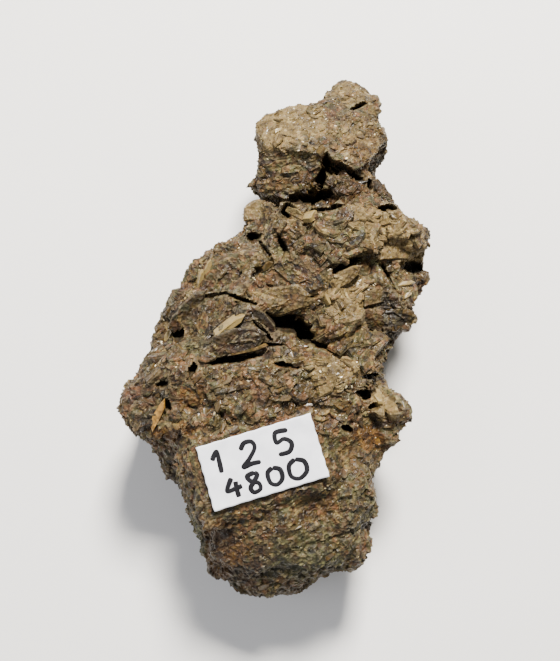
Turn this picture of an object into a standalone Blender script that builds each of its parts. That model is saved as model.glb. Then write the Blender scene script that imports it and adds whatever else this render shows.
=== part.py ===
"""Axinite specimen lying on its back: a mass of wedge-shaped crystals grown on a block of rock, with a paper label.

Blender 4.5, metres, +Z up. The specimen's long way is Y, its crystal-covered face looks up, and the origin is
on the resting plane under the middle of its box. Run it with blender --background --python part.py.
"""

import math
import random

import bmesh
import bpy
from mathutils import Euler, Matrix, Vector, noise
from mathutils.bvhtree import BVHTree

MM = 0.001
SPECIMEN_NAME = "axinite_specimen"
LABEL_NAME = "paper_label"

# The rock core as stations along its length, bottom end first, all in millimetres:
# (place along Y, left side, right side, back, front).
CORE_STATIONS = (
    (-34.3, -5.5, 1.5, 6.0, 13.5),
    (-32.5, -9.2, 5.0, 3.0, 17.0),
    (-30.0, -10.2, 10.3, 1.0, 19.0),
    (-26.5, -11.6, 12.2, -0.8, 20.5),
    (-22.5, -13.0, 13.0, -1.0, 21.3),
    (-18.5, -15.6, 13.0, -1.0, 22.0),
    (-15.2, -17.4, 14.0, -1.0, 22.6),
    (-13.2, -19.4, 15.6, -1.0, 23.6),
    (-11.0, -21.6, 16.4, -1.0, 24.4),
    (-8.0, -22.4, 16.6, -1.0, 24.8),
    (-5.0, -22.2, 15.2, -0.8, 24.6),
    (-2.0, -20.3, 14.2, -0.5, 23.4),
    (1.5, -18.3, 16.4, 0.0, 21.8),
    (5.0, -16.6, 18.0, 0.5, 21.4),
    (9.0, -14.0, 20.2, 0.8, 21.0),
    (13.0, -13.0, 21.0, 1.2, 20.4),
    (16.0, -9.8, 21.6, 1.6, 19.8),
    (19.0, -6.0, 21.0, 2.5, 18.4),
    (21.5, -4.6, 19.0, 3.5, 15.6),
    (24.0, -2.4, 16.4, 4.0, 13.0),
    (27.0, -2.8, 14.4, 4.0, 16.0),
    (30.0, -3.4, 14.6, 4.0, 19.6),
    (33.5, -3.4, 15.2, 4.5, 18.6),
    (36.5, 0.4, 14.2, 5.0, 17.0),
    (39.5, 5.4, 13.8, 6.0, 15.6),
    (42.0, 8.0, 13.4, 8.0, 14.6),
    (43.4, 9.6, 12.6, 10.0, 13.4),
)
RING_POINTS = 14
STATION_STEP = 4.0
SECTION_SQUARENESS = 2.7
# The core is widest at this share of its depth, counted from the back.
MID_SHARE = 0.45
# How far the core's points are moved, and the wavelength of that unevenness.
COARSE_ROUGHNESS = (1.3, 6.0)
FINE_ROUGHNESS = (0.6, 2.4)
NOISE_SEED = 5

# Broken lumps that stand out of the core: (name, centre, half sizes, turn in degrees), millimetres.
LUMPS = (
    ("top_right_bump", (14.0, 33.4, 13.0), (2.0, 2.8, 4.0), (0, 20, 30)),
    ("top_left_knob", (-3.4, 26.2, 13.0), (1.6, 1.5, 3.0), (10, -30, 20)),
    ("cleft_column", (13.6, 38.2, 12.2), (1.3, 2.8, 3.4), (0, 12, -6)),
    ("neck_left", (-2.6, 20.4, 13.0), (3.1, 1.8, 4.4), (14, -12, 18)),
    ("upper_left", (1.7, 16.3, 17.3), (4.8, 4.0, 5.6), (16, -8, 24)),
    ("upper_middle", (8.9, 16.2, 17.6), (4.6, 4.2, 5.8), (18, 4, -12)),
    ("upper_right", (15.6, 15.8, 15.0), (4.8, 4.4, 6.2), (10, 14, -24)),
    ("right_knob", (20.0, 16.9, 12.8), (2.4, 2.4, 4.2), (4, 24, 10)),
    ("shoulder_inner", (-3.0, 12.2, 17.2), (4.4, 3.6, 5.2), (20, -8, 32)),
    ("shoulder", (-8.2, 11.0, 14.8), (4.2, 3.4, 5.6), (12, -22, 30)),
    ("shoulder_knob", (-10.4, 11.8, 11.8), (2.2, 1.8, 4.0), (0, -30, 14)),
    ("middle_right", (15.0, 8.4, 15.8), (4.8, 4.2, 6.0), (14, 12, -30)),
    ("right_hook", (19.4, 10.8, 12.4), (2.2, 2.4, 4.0), (0, 26, 20)),
    ("middle_left", (-10.6, 4.4, 14.0), (4.6, 4.4, 6.4), (12, -20, 34)),
    ("shelf_left", (-4.4, 5.2, 18.6), (5.4, 3.6, 4.4), (24, -6, 28)),
    ("shelf_right", (7.6, 3.8, 18.8), (5.4, 3.8, 4.8), (20, 6, -26)),
    ("side_right", (14.0, 3.2, 14.8), (3.6, 3.4, 5.4), (12, 18, -34)),
    ("lip", (-6.6, -0.2, 19.4), (4.8, 3.0, 4.4), (26, -6, 18)),
    ("side_left", (-13.8, -0.2, 11.8), (2.8, 3.8, 5.8), (6, -24, 30)),
    ("left_bulge", (-17.6, -8.2, 13.6), (4.2, 5.2, 7.2), (0, -14, -6)),
    ("left_bulge_foot", (-17.0, -11.4, 17.4), (4.2, 2.6, 4.0), (20, -16, -6)),
    ("crust_left", (-10.4, -6.6, 19.6), (6.6, 5.2, 4.8), (8, -8, 14)),
    ("crust_middle", (-1.4, -8.0, 20.4), (7.2, 4.8, 4.2), (14, 2, -8)),
    ("pale_crust", (8.6, -6.0, 19.4), (5.8, 4.6, 4.8), (10, 8, -12)),
    ("right_slab", (13.6, -10.4, 14.0), (2.9, 4.2, 6.4), (0, 30, -12)),
    ("ledge_left", (-10.8, -12.4, 20.4), (4.6, 2.2, 3.2), (24, -8, 6)),
    ("base_left", (-8.4, -18.6, 13.0), (5.2, 6.4, 8.4), (4, -14, 18)),
    ("base_right", (7.8, -18.6, 13.2), (5.8, 7.6, 8.0), (6, 12, 6)),
    ("base_front", (-1.0, -25.4, 15.0), (8.6, 6.6, 6.2), (10, -4, 10)),
    ("base_low_left", (-5.2, -28.0, 10.4), (4.4, 5.0, 7.4), (10, -12, 20)),
    ("base_low_right", (5.8, -27.0, 11.8), (6.6, 5.2, 7.4), (8, 10, 12)),
    ("bottom_right_tip", (9.4, -29.0, 12.0), (2.4, 2.8, 4.8), (-8, 12, 26)),
    ("bottom_foot", (-2.6, -32.4, 9.8), (5.4, 2.6, 5.2), (8, 0, 6)),
    ("rear_top", (4.0, 17.5, 3.8), (7.0, 4.8, 4.4), (6, 0, 20)),
    ("rear_lobe", (6.2, 31.0, 7.2), (6.0, 6.0, 3.8), (0, 8, 10)),
    ("rear_left", (-9.0, 3.0, 4.6), (6.6, 7.0, 4.8), (0, 8, 30)),
    ("rear_right", (10.0, 3.0, 4.8), (5.8, 6.4, 5.0), (4, -8, -20)),
    ("rear_bottom", (0.0, -24.0, 5.0), (8.6, 7.0, 5.2), (0, 4, 8)),
)
LUMP_POINTS = 15

# Blocks of the top lobe and the neck, which are broken along flat faces: (name, corners of the face, the step
# from the face to the block's root, the root's size as a share of the face's), millimetres.
BLOCKS = (
    ("lobe_face", (
        (-2.7, 35.6, 18.6), (-4.5, 32.9, 18.6), (-3.4, 30.4, 19.8), (0.0, 28.7, 20.6), (2.9, 28.2, 21.0),
        (6.0, 27.8, 20.7), (8.4, 30.6, 19.8), (8.3, 38.4, 17.2), (5.5, 38.2, 17.6), (0.8, 37.0, 18.4),
    ), (0.4, 1.0, -9.0), 0.9),
    ("lobe_right", (
        (5.8, 38.4, 17.2), (6.6, 27.8, 20.4), (9.0, 26.3, 20.0), (11.4, 25.3, 19.4), (13.8, 27.6, 18.2),
        (15.6, 29.8, 16.6), (16.2, 33.0, 16.0), (14.5, 35.5, 16.4), (7.8, 39.4, 16.4),
    ), (-0.8, 1.6, -9.0), 0.86),
    ("lobe_tip", (
        (6.2, 39.0, 15.8), (7.2, 41.0, 14.8), (9.2, 43.0, 13.8), (13.4, 43.4, 13.4), (14.4, 41.0, 14.0),
        (14.2, 36.5, 15.8), (10.0, 35.9, 17.2),
    ), (0.0, -1.4, -6.0), 0.8),
    ("lobe_low", (
        (-3.6, 30.7, 18.6), (6.1, 28.0, 19.2), (6.0, 26.2, 18.0), (4.6, 24.2, 16.4), (1.5, 23.0, 15.6),
        (-2.9, 23.0, 15.2), (-3.3, 25.6, 15.6),
    ), (0.4, 2.6, -7.0), 0.9),
    ("neck_inner", (
        (7.4, 27.0, 15.0), (8.8, 27.6, 15.4), (11.7, 25.6, 15.2), (12.0, 22.8, 13.6), (9.2, 22.4, 13.4),
        (7.6, 24.4, 14.0),
    ), (0.2, 0.6, -7.0), 1.1),
    ("neck_right", (
        (11.8, 26.0, 17.0), (13.6, 27.6, 16.8), (15.0, 26.2, 15.4), (17.0, 24.2, 14.4), (17.4, 21.7, 14.0),
        (14.4, 20.6, 15.0), (12.3, 22.0, 15.0),
    ), (-1.0, 0.4, -8.0), 0.95),
)
LUMP_ROUGHNESS = 0.13
# The power of the lumps' rounded-box form: 2 is an ellipsoid, and a high power is a box.
BLOCKINESS = 3.4

# Dark crevices and hollows under the ledges: (name, centre, half sizes, turn in degrees), millimetres.
HOLLOWS = (
    ("chasm_under_lobe", (2.4, 22.0, 13.6), (4.8, 0.9, 5.4), (-16, 0, 22)),
    ("chasm_middle", (7.2, 23.2, 12.6), (2.0, 0.9, 4.4), (-16, 0, -6)),
    ("chasm_between", (6.4, 25.6, 16.2), (0.8, 2.9, 6.0), (-6, 0, -6)),
    ("chasm_right", (9.5, 26.3, 16.4), (3.1, 0.55, 4.6), (-16, 0, -27)),
    ("top_cleft", (12.1, 37.6, 15.4), (1.7, 0.6, 3.4), (-20, 0, 34)),
    ("right_hole", (16.4, 21.2, 14.6), (1.7, 0.9, 3.4), (-30, 10, 0)),
    ("knob_hollow", (19.4, 12.9, 13.8), (1.8, 1.4, 4.2), (-20, 20, 0)),
    ("middle_hole", (9.6, 10.8, 21.4), (1.6, 0.8, 3.6), (-30, 0, 20)),
    ("cavern", (1.6, 0.9, 20.6), (3.4, 1.7, 4.8), (-38, 0, -14)),
    ("lip_hollow", (-5.0, -3.6, 22.8), (3.0, 0.8, 3.8), (-40, 0, 12)),
    ("crust_slot", (1.4, -4.0, 23.4), (1.7, 0.5, 2.8), (-34, 0, -10)),
    ("side_hole", (12.7, -4.4, 18.4), (1.5, 0.8, 4.4), (-30, 10, 0)),
    ("slab_notch", (12.0, -8.2, 20.6), (1.7, 1.1, 3.6), (-14, 16, -30)),
    ("shoulder_slot", (-6.0, 7.6, 18.6), (3.4, 0.7, 3.6), (-38, 0, 30)),
    ("left_slot", (-13.8, -1.0, 17.4), (2.6, 0.8, 3.8), (-30, -10, 36)),
)
HOLLOW_POINTS = 10

# Large crystals that the eye picks out: (centre, length, width, thickness, turn in degrees), millimetres.
LARGE_CRYSTALS = (
    ((4.0, 9.2, 22.6), 7.4, 4.6, 1.1, (24, -10, -34)),
    ((-2.4, 3.0, 23.0), 7.2, 3.6, 0.9, (38, 8, 16)),
    ((4.6, 4.6, 22.8), 6.0, 3.2, 0.8, (50, -6, -8)),
    ((-7.2, 6.0, 20.8), 7.8, 3.4, 0.9, (52, -18, 38)),
    ((-13.4, 8.0, 16.6), 7.0, 3.2, 0.9, (40, -30, 48)),
    ((-10.2, 10.2, 18.6), 4.6, 2.2, 0.8, (70, 0, 80)),
    ((-6.4, -2.0, 24.0), 6.6, 3.8, 0.8, (34, 0, 14)),
    ((1.8, 19.4, 20.6), 5.2, 3.0, 0.8, (64, 20, 66)),
    ((-2.2, 20.6, 17.6), 5.0, 3.2, 0.9, (30, -20, -40)),
    ((12.0, 17.8, 20.6), 5.4, 3.0, 0.9, (48, 14, -20)),
    ((18.4, 9.8, 17.2), 4.4, 1.6, 1.2, (20, 24, 24)),
    ((14.4, 12.2, 20.4), 6.2, 3.4, 0.9, (40, 20, -38)),
    ((8.8, 7.0, 22.8), 4.2, 2.4, 0.7, (72, 0, 70)),
    ((16.8, 4.6, 19.4), 6.0, 3.4, 0.9, (44, 26, -50)),
    ((12.2, -1.8, 21.0), 5.4, 3.4, 0.9, (30, 20, -24)),
    ((-12.8, 2.0, 18.6), 6.6, 3.2, 0.9, (48, -24, 40)),
    ((-16.6, 2.2, 13.4), 5.4, 3.0, 0.8, (20, -44, 50)),
    ((14.0, -8.4, 18.6), 6.0, 3.6, 1.0, (16, 48, 60)),
    ((-0.6, 27.4, 18.2), 4.2, 2.6, 0.8, (34, -14, 20)),
)
# Smaller crystals are sown in zones: (count, range along Y, sector in degrees from +X over the front).
SOWN_ZONES = (
    (44, (-1.0, 13.0), (12.0, 162.0)),
    (16, (14.0, 18.6), (36.0, 128.0)),
    (9, (0.0, 15.0), (-55.0, -12.0)),
    (9, (0.0, 15.0), (190.0, 235.0)),
)
SOWN_LENGTH = (3.2, 6.4)
SOWN_WIDTH_SHARE = (0.52, 0.74)
SOWN_THICKNESS_SHARE = (0.14, 0.2)
# Their long edges follow a few headings in degrees from +X, and they overlap like shingles, lower edge out.
SOWN_HEADINGS = (40.0, 40.0, -28.0, -28.0, 8.0, 72.0)
SOWN_SPREAD = 16.0
SOWN_LEAN = (-12.0, 50.0)
SOWN_RISE = 0.04
SOWN_LOWEST = 4.0
# No crystal is sown nearer than this to a crevice's middle.
SOWN_CLEAR = 2.4
SOWN_SEED = 11
LINE_START = 60.0

# The paper label, stuck on a level place of the lower rock. The pad is the rock under it, flat on top.
LABEL_CENTRE = (-2.3, -17.9, 23.3)
LABEL_SIZE = (16.0, 8.8, 0.25)
LABEL_TURN = (9.0, 0.0, 17.0)
LABEL_GAP = 0.3
LABEL_CURL = 0.5
LABEL_CELLS = (12, 6)
PAD_TOP = (17.8, 10.4)
PAD_FOOT = (24.0, 20.0)
PAD_DEPTH = 4.2
PAD_FOOT_POINTS = 12
CLEARANCE = (1.2, 1.2, 6.0)

# The share of the triangles kept when the joined solid is thinned, and what counts as on the resting plane.
KEPT_SHARE = 0.66
FLAT_WITHIN = 0.12
MERGE_DISTANCE = 0.0001
FLOOR_CUT = (120.0, 120.0, 12.0)


def clear_scene():
    """Removes every object of the file that the script runs in."""
    for obj in list(bpy.data.objects):
        bpy.data.objects.remove(obj, do_unlink=True)


def new_collection(name):
    """A collection in the scene."""
    made = bpy.data.collections.new(name)
    bpy.context.scene.collection.children.link(made)
    return made


def new_object(name, bm, collection, guide=False):
    """An object from a bmesh. A guide is hidden and only shapes other objects."""
    mesh = bpy.data.meshes.new(name)
    bm.to_mesh(mesh)
    bm.free()
    obj = bpy.data.objects.new(name, mesh)
    collection.objects.link(obj)
    if guide:
        obj.hide_render = True
        obj.display_type = "WIRE"
    return obj


def new_material(name, colour, roughness):
    """A Principled material of one colour, with its roughness."""
    material = bpy.data.materials.new(name)
    material.use_nodes = True
    shader = material.node_tree.nodes["Principled BSDF"]
    shader.inputs["Base Color"].default_value = (*colour, 1.0)
    shader.inputs["Roughness"].default_value = roughness
    shader.inputs["Metallic"].default_value = 0.0
    return material


def turn(degrees):
    """A rotation matrix from Euler angles in degrees."""
    return Euler([math.radians(a) for a in degrees]).to_matrix()


def placed(points, centre, degrees):
    """Points in a piece's own frame, turned and moved to their place, all in millimetres."""
    rotation = turn(degrees)
    return [(rotation @ Vector(p) + Vector(centre)) * MM for p in points]


def hull(points):
    """A bmesh of the convex hull of the points, as triangles facing out."""
    bm = bmesh.new()
    for p in points:
        bm.verts.new(p)
    made = bmesh.ops.convex_hull(bm, input=bm.verts)
    loose = {v for v in made["geom_interior"] + made["geom_unused"] if isinstance(v, bmesh.types.BMVert)}
    bmesh.ops.delete(bm, geom=list(loose), context="VERTS")
    bmesh.ops.recalc_face_normals(bm, faces=bm.faces)
    return bm


def broken_lump(centre, half, degrees, count, roughness, seed):
    """A lump with flat broken faces: the hull of points spread over a squarish ellipsoid, each pushed in or out."""
    rng = random.Random(seed)
    golden = math.pi * (3 - math.sqrt(5))
    points = []
    for i in range(count):
        up = 1 - 2 * (i + 0.5) / count
        ring = math.sqrt(1 - up * up)
        angle = golden * i + rng.uniform(-0.4, 0.4)
        way = (ring * math.cos(angle), ring * math.sin(angle), up)
        squared = sum(abs(c) ** BLOCKINESS for c in way) ** (1 / BLOCKINESS)
        reach = (1 + rng.uniform(-roughness, roughness)) / squared
        points.append([h * c * reach for h, c in zip(half, way)])
    return hull(placed(points, centre, degrees))


def axe_crystal(centre, length, width, thickness, degrees, seed):
    """An axinite crystal: a thin slanted plate whose two faces bevel to a sharp rim like an axe's edge."""
    rng = random.Random(seed)
    slant = rng.uniform(0.15, 0.3)
    rim = ((-0.5 - slant, -0.4), (0.3, -0.5), (0.5 + slant, 0.3), (0.2 + slant, 0.5), (-0.5, 0.45))
    face = ((-0.36 - slant, -0.26), (0.26, -0.3), (0.32 + slant, 0.26), (-0.34, 0.28))
    points = [(x * length, y * width, 0.0) for x, y in rim]
    for side in (-0.5, 0.5):
        points += [(x * length, y * width, side * thickness) for x, y in face]
    return hull(placed(points, centre, degrees))


def station_at(y):
    """The core's left, right, back and front at a place along its length, read between the stations."""
    if y <= CORE_STATIONS[0][0]:
        return CORE_STATIONS[0][1:]
    for below, above in zip(CORE_STATIONS, CORE_STATIONS[1:]):
        if y <= above[0]:
            share = (y - below[0]) / (above[0] - below[0])
            return tuple(a + (b - a) * share for a, b in zip(below[1:], above[1:]))
    return CORE_STATIONS[-1][1:]


def section_point(y, angle):
    """A point of the core's section: a squarish ellipse, wider in front or behind as the station asks."""
    left, right, back, front = station_at(y)
    middle = back + (front - back) * MID_SHARE
    cosine, sine = math.cos(angle), math.sin(angle)
    power = 2 / SECTION_SQUARENESS
    across = math.copysign(abs(cosine) ** power, cosine)
    upward = math.copysign(abs(sine) ** power, sine)
    height = (front - middle) if upward > 0 else (middle - back)
    return Vector(((left + right) / 2 + across * (right - left) / 2, y, middle + upward * height))


def roughened(point):
    """A point of the core moved by coarse and fine noise, so that it reads as broken rock."""
    moved = Vector(point)
    for reach, wave in (COARSE_ROUGHNESS, FINE_ROUGHNESS):
        moved += noise.noise_vector(Vector(point) / wave) * reach
    return moved


def make_core(collection):
    """The rock core: a loft of unlike sections, closed by a point at each end."""
    noise.seed_set(NOISE_SEED)
    first, last = CORE_STATIONS[0][0], CORE_STATIONS[-1][0]
    count = round((last - first) / STATION_STEP)
    bm = bmesh.new()
    rings = []
    for i in range(count + 1):
        y = first + (last - first) * i / count
        ring = []
        for k in range(RING_POINTS):
            angle = 2 * math.pi * (k + 0.5 * (i % 2)) / RING_POINTS
            ring.append(bm.verts.new(roughened(section_point(y, angle)) * MM))
        rings.append(ring)
    for i, (near, far) in enumerate(zip(rings, rings[1:])):
        for k in range(RING_POINTS):
            n = (k + 1) % RING_POINTS
            if i % 2:
                bm.faces.new((near[k], far[k], near[n]))
                bm.faces.new((near[n], far[k], far[n]))
            else:
                bm.faces.new((near[k], far[k], far[n]))
                bm.faces.new((near[k], far[n], near[n]))
    for ring in (rings[0], rings[-1]):
        tip = bm.verts.new(sum((v.co for v in ring), Vector()) / RING_POINTS)
        for k in range(RING_POINTS):
            bm.faces.new((ring[k], ring[(k + 1) % RING_POINTS], tip))
    bmesh.ops.recalc_face_normals(bm, faces=bm.faces)
    return new_object("core", bm, collection, guide=True)


def make_lumps(collection):
    """The broken lumps that give the specimen its blocks, knobs and ledges."""
    for i, (name, centre, half, degrees) in enumerate(LUMPS):
        bm = broken_lump(centre, half, degrees, LUMP_POINTS, LUMP_ROUGHNESS, seed=100 + i)
        new_object(name, bm, collection, guide=True)


def make_blocks(collection):
    """The blocks with a flat broken face: the hull of the face and of the smaller root under it."""
    for name, face, step, share in BLOCKS:
        middle = sum((Vector(corner) for corner in face), Vector()) / len(face)
        root = [middle + (Vector(corner) - middle) * share + Vector(step) for corner in face]
        bm = hull([Vector(point) * MM for point in (*face, *root)])
        new_object(name, bm, collection, guide=True)


def near_crevice(place):
    """Whether a place in millimetres is next to a crevice, seen from the front."""
    return any((Vector(centre).xy - place.xy).length < SOWN_CLEAR for _, centre, _, _ in HOLLOWS)


def make_hollows(collection):
    """The cutters for the dark crevices."""
    for i, (name, centre, half, degrees) in enumerate(HOLLOWS):
        bm = broken_lump(centre, half, degrees, HOLLOW_POINTS, LUMP_ROUGHNESS, seed=300 + i)
        new_object(name, bm, collection, guide=True)


def label_frame():
    """The label's place: a matrix from its own frame, in millimetres, to metres."""
    return Matrix.Scale(MM, 4) @ Matrix.Translation(LABEL_CENTRE) @ turn(LABEL_TURN).to_4x4()


def box(size, matrix):
    """A bmesh box of full sizes in millimetres, placed by a matrix."""
    bm = bmesh.new()
    bmesh.ops.create_cube(bm, size=1.0, matrix=matrix @ Matrix.Diagonal((*size, 1.0)))
    bmesh.ops.triangulate(bm, faces=bm.faces)
    return bm


def make_pad(lumps, cutters):
    """The flat face that the label is stuck on, and the cutter that clears the rock above it."""
    top = -LABEL_SIZE[2] / 2 - LABEL_GAP
    corners = ((-0.5, -0.5), (0.5, -0.5), (0.5, 0.5), (-0.5, 0.5))
    points = [(x * PAD_TOP[0], y * PAD_TOP[1], top) for x, y in corners]
    for k in range(PAD_FOOT_POINTS):
        angle = 2 * math.pi * k / PAD_FOOT_POINTS
        across, along = math.cos(angle) * PAD_FOOT[0] / 2, math.sin(angle) * PAD_FOOT[1] / 2
        points.append((across, along, top - PAD_DEPTH))
    pad = hull([label_frame() @ Vector(p) for p in points])
    new_object("label_pad", pad, lumps, guide=True)
    size = (LABEL_SIZE[0] + CLEARANCE[0], LABEL_SIZE[1] + CLEARANCE[1], CLEARANCE[2])
    over = label_frame() @ Matrix.Translation((0, 0, top + CLEARANCE[2] / 2))
    new_object("label_clearance", box(size, over), cutters, guide=True)


def boolean(obj, operation, collection):
    """A Boolean modifier against every object of a collection."""
    modifier = obj.modifiers.new(f"{operation} {collection.name}", "BOOLEAN")
    modifier.operation = operation
    modifier.operand_type = "COLLECTION"
    modifier.collection = collection
    modifier.solver = "EXACT"
    modifier.use_self = False
    return modifier


def evaluated_mesh(obj):
    """A copy of the object's mesh with its modifiers applied."""
    bpy.context.view_layer.update()
    graph = bpy.context.evaluated_depsgraph_get()
    return bpy.data.meshes.new_from_object(obj.evaluated_get(graph))


def sown_crystals(rock, collection):
    """Smaller crystals set into the rock's face, each found by a line from outside towards the core's axis."""
    bpy.context.view_layer.update()
    tree = BVHTree.FromObject(rock, bpy.context.evaluated_depsgraph_get())
    rng = random.Random(SOWN_SEED)
    made = 0
    for count, (low, high), (start, end) in SOWN_ZONES:
        for _ in range(count):
            y = rng.uniform(low, high)
            angle = math.radians(rng.uniform(start, end))
            left, right, back, front = station_at(y)
            axis = Vector(((left + right) / 2, y, back + (front - back) * MID_SHARE)) * MM
            out = Vector((math.cos(angle), rng.uniform(-0.2, 0.4), math.sin(angle))).normalized()
            hit, normal, _, _ = tree.ray_cast(axis + out * LINE_START * MM, -out)
            length = rng.uniform(*SOWN_LENGTH)
            width = length * rng.uniform(*SOWN_WIDTH_SHARE)
            thickness = length * rng.uniform(*SOWN_THICKNESS_SHARE)
            lean = rng.uniform(*SOWN_LEAN)
            heading = math.radians(rng.choice(SOWN_HEADINGS) + rng.gauss(0.0, SOWN_SPREAD))
            if hit is None or hit.z < SOWN_LOWEST * MM or near_crevice(hit / MM):
                continue
            along = Vector((math.cos(heading), math.sin(heading), 0.0))
            along = (along - normal * along.dot(normal)).normalized()
            facing = Matrix((along, normal.cross(along), normal)).transposed() @ turn((-lean, 0, 0))
            degrees = [math.degrees(a) for a in facing.to_euler()]
            centre = hit / MM + normal * length * SOWN_RISE
            bm = axe_crystal(centre, length, width, thickness, degrees, seed=1000 + made)
            new_object(f"sown_{made:03d}", bm, collection, guide=True)
            made += 1


def thinned(obj):
    """A Decimate modifier that takes out the slivers that the joins leave, and keeps the flat faces."""
    modifier = obj.modifiers.new("thinned", "DECIMATE")
    modifier.decimate_type = "COLLAPSE"
    modifier.ratio = KEPT_SHARE
    modifier.use_collapse_triangulate = True


def largest_body(mesh):
    """The mesh as one closed body: doubles merged, and the shells of sealed pockets and stray chips removed."""
    bm = bmesh.new()
    bm.from_mesh(mesh)
    bmesh.ops.remove_doubles(bm, verts=bm.verts, dist=MERGE_DISTANCE * MM)
    bmesh.ops.triangulate(bm, faces=bm.faces)
    islands = []
    unseen = set(bm.faces)
    while unseen:
        island, front = set(), [unseen.pop()]
        while front:
            face = front.pop()
            island.add(face)
            for edge in face.edges:
                for other in edge.link_faces:
                    if other in unseen:
                        unseen.remove(other)
                        front.append(other)
        islands.append(island)
    islands.sort(key=len, reverse=True)
    stray = [face for island in islands[1:] for face in island]
    bmesh.ops.delete(bm, geom=stray, context="FACES")
    for vertex in bm.verts:
        if abs(vertex.co.z) < FLAT_WITHIN * MM:
            vertex.co.z = 0.0
    return bm


def make_specimen(collection, guides):
    """The whole specimen as one solid: core and lumps joined, crevices cut, crystals joined, and the back cut flat."""
    lumps, hollows = new_collection("lumps"), new_collection("hollows")
    crystals, cuts = new_collection("crystals"), new_collection("cuts")
    core = make_core(guides)
    make_lumps(lumps)
    make_blocks(lumps)
    make_hollows(hollows)
    make_pad(lumps, cuts)
    boolean(core, "UNION", lumps)
    boolean(core, "DIFFERENCE", hollows)
    for i, (centre, length, width, thickness, degrees) in enumerate(LARGE_CRYSTALS):
        bm = axe_crystal(centre, length, width, thickness, degrees, seed=500 + i)
        new_object(f"crystal_{i:02d}", bm, crystals, guide=True)
    sown_crystals(core, crystals)
    boolean(core, "UNION", crystals)
    below = Matrix.Scale(MM, 4) @ Matrix.Translation((0, 0, -FLOOR_CUT[2] / 2))
    new_object("floor_cut", box(FLOOR_CUT, below), cuts, guide=True)
    boolean(core, "DIFFERENCE", cuts)
    thinned(core)
    specimen = new_object(SPECIMEN_NAME, largest_body(evaluated_mesh(core)), collection)
    specimen.data.materials.append(new_material("axinite and rock", (0.30, 0.22, 0.13), 0.5))
    return specimen


def make_label(collection):
    """The paper label: a thin sheet with its lower corners lifting a little."""
    length, width, thickness = LABEL_SIZE
    across, along = LABEL_CELLS
    bm = bmesh.new()
    bmesh.ops.create_grid(bm, x_segments=across, y_segments=along, size=0.5)
    for vertex in bm.verts:
        u, v = vertex.co.x * 2, vertex.co.y * 2
        lift = LABEL_CURL * (abs(u) ** 3) * max(0.0, -v) ** 2
        vertex.co = Vector((u * length / 2, v * width / 2, lift - thickness / 2))
    grown = bmesh.ops.extrude_face_region(bm, geom=bm.faces[:])
    top = [v for v in grown["geom"] if isinstance(v, bmesh.types.BMVert)]
    bmesh.ops.translate(bm, verts=top, vec=(0, 0, thickness))
    bmesh.ops.recalc_face_normals(bm, faces=bm.faces)
    bmesh.ops.triangulate(bm, faces=bm.faces)
    bm.transform(label_frame())
    label = new_object(LABEL_NAME, bm, collection)
    label.data.materials.append(new_material("label paper", (0.86, 0.87, 0.90), 0.7))
    return label


def centre_on_floor(objects):
    """Moves the finished meshes so that the origin is under the middle of their common box."""
    points = [v.co for obj in objects for v in obj.data.vertices]
    middle = [(min(p[k] for p in points) + max(p[k] for p in points)) / 2 for k in (0, 1)]
    for obj in objects:
        obj.data.transform(Matrix.Translation((-middle[0], -middle[1], 0.0)))


def main():
    """Builds the specimen and its label, and sets the origin."""
    clear_scene()
    guides = new_collection("guides")
    parts = new_collection("axinite specimen")
    centre_on_floor([make_specimen(parts, guides), make_label(parts)])


main()
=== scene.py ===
"""Looks of an axinite specimen on its back: wedge-shaped brown crystals on their rock, with a paper label.

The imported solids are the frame. The rock is a fine skin grown over the solid's own form, the crystals are
plates sown over it like shingles, and the label is a thin curling sheet. Places are given in millimetres in
the specimen's drawing frame, whose origin is found from the label, and are moved to the frame at the end.
"""
import logging
import math
from dataclasses import dataclass
from enum import Enum
from functools import cached_property

import bmesh
import bpy
import numpy as np
from mathutils import Euler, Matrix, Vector


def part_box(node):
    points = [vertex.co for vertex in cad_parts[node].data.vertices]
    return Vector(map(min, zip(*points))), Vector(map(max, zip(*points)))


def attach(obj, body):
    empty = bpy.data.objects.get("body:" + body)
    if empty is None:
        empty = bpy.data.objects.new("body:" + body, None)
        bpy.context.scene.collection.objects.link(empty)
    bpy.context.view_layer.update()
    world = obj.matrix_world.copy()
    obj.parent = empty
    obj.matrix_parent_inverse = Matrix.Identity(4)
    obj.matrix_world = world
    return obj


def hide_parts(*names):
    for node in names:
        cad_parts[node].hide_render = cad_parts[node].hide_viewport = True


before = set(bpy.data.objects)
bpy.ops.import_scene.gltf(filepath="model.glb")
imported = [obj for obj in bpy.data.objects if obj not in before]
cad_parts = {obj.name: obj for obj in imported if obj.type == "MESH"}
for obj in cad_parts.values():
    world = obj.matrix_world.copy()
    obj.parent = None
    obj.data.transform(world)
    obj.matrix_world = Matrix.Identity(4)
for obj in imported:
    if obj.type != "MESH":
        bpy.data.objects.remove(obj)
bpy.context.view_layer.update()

MM = 0.001
ROCK_NODE = "axinite_specimen"
LABEL_NODE = "paper_label"
BODY = "root"

# The label's middle in the drawing frame, in millimetres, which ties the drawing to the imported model.
LABEL_CENTRE = np.array((-2.3, -17.9, 23.3))
LABEL_SIZE = (16.0, 8.8)
LABEL_TURN = (9.0, 0.0, 17.0)
LABEL_PLACE = np.array(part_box(LABEL_NODE)).mean(axis=0) / MM
CAD_LOW, CAD_HIGH = (np.array(corner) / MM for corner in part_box(ROCK_NODE))

log = logging.getLogger("axinite")
Array = np.ndarray


class Zone(Enum):
    """The specimen's zones along its length, from the broken bottom to the narrow top lobe."""

    BASE = "base"
    CRUST = "crust"
    BLADED = "bladed"
    NECK = "neck"
    LOBE = "lobe"


# The range along Y that each zone covers, in millimetres of the drawing frame.
ZONE_RANGES = {
    Zone.BASE: (-60.0, -13.5),
    Zone.CRUST: (-13.5, -2.0),
    Zone.BLADED: (-2.0, 21.0),
    Zone.NECK: (21.0, 26.0),
    Zone.LOBE: (26.0, 70.0),
}
ZONE_BLEND = 1.6


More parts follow.
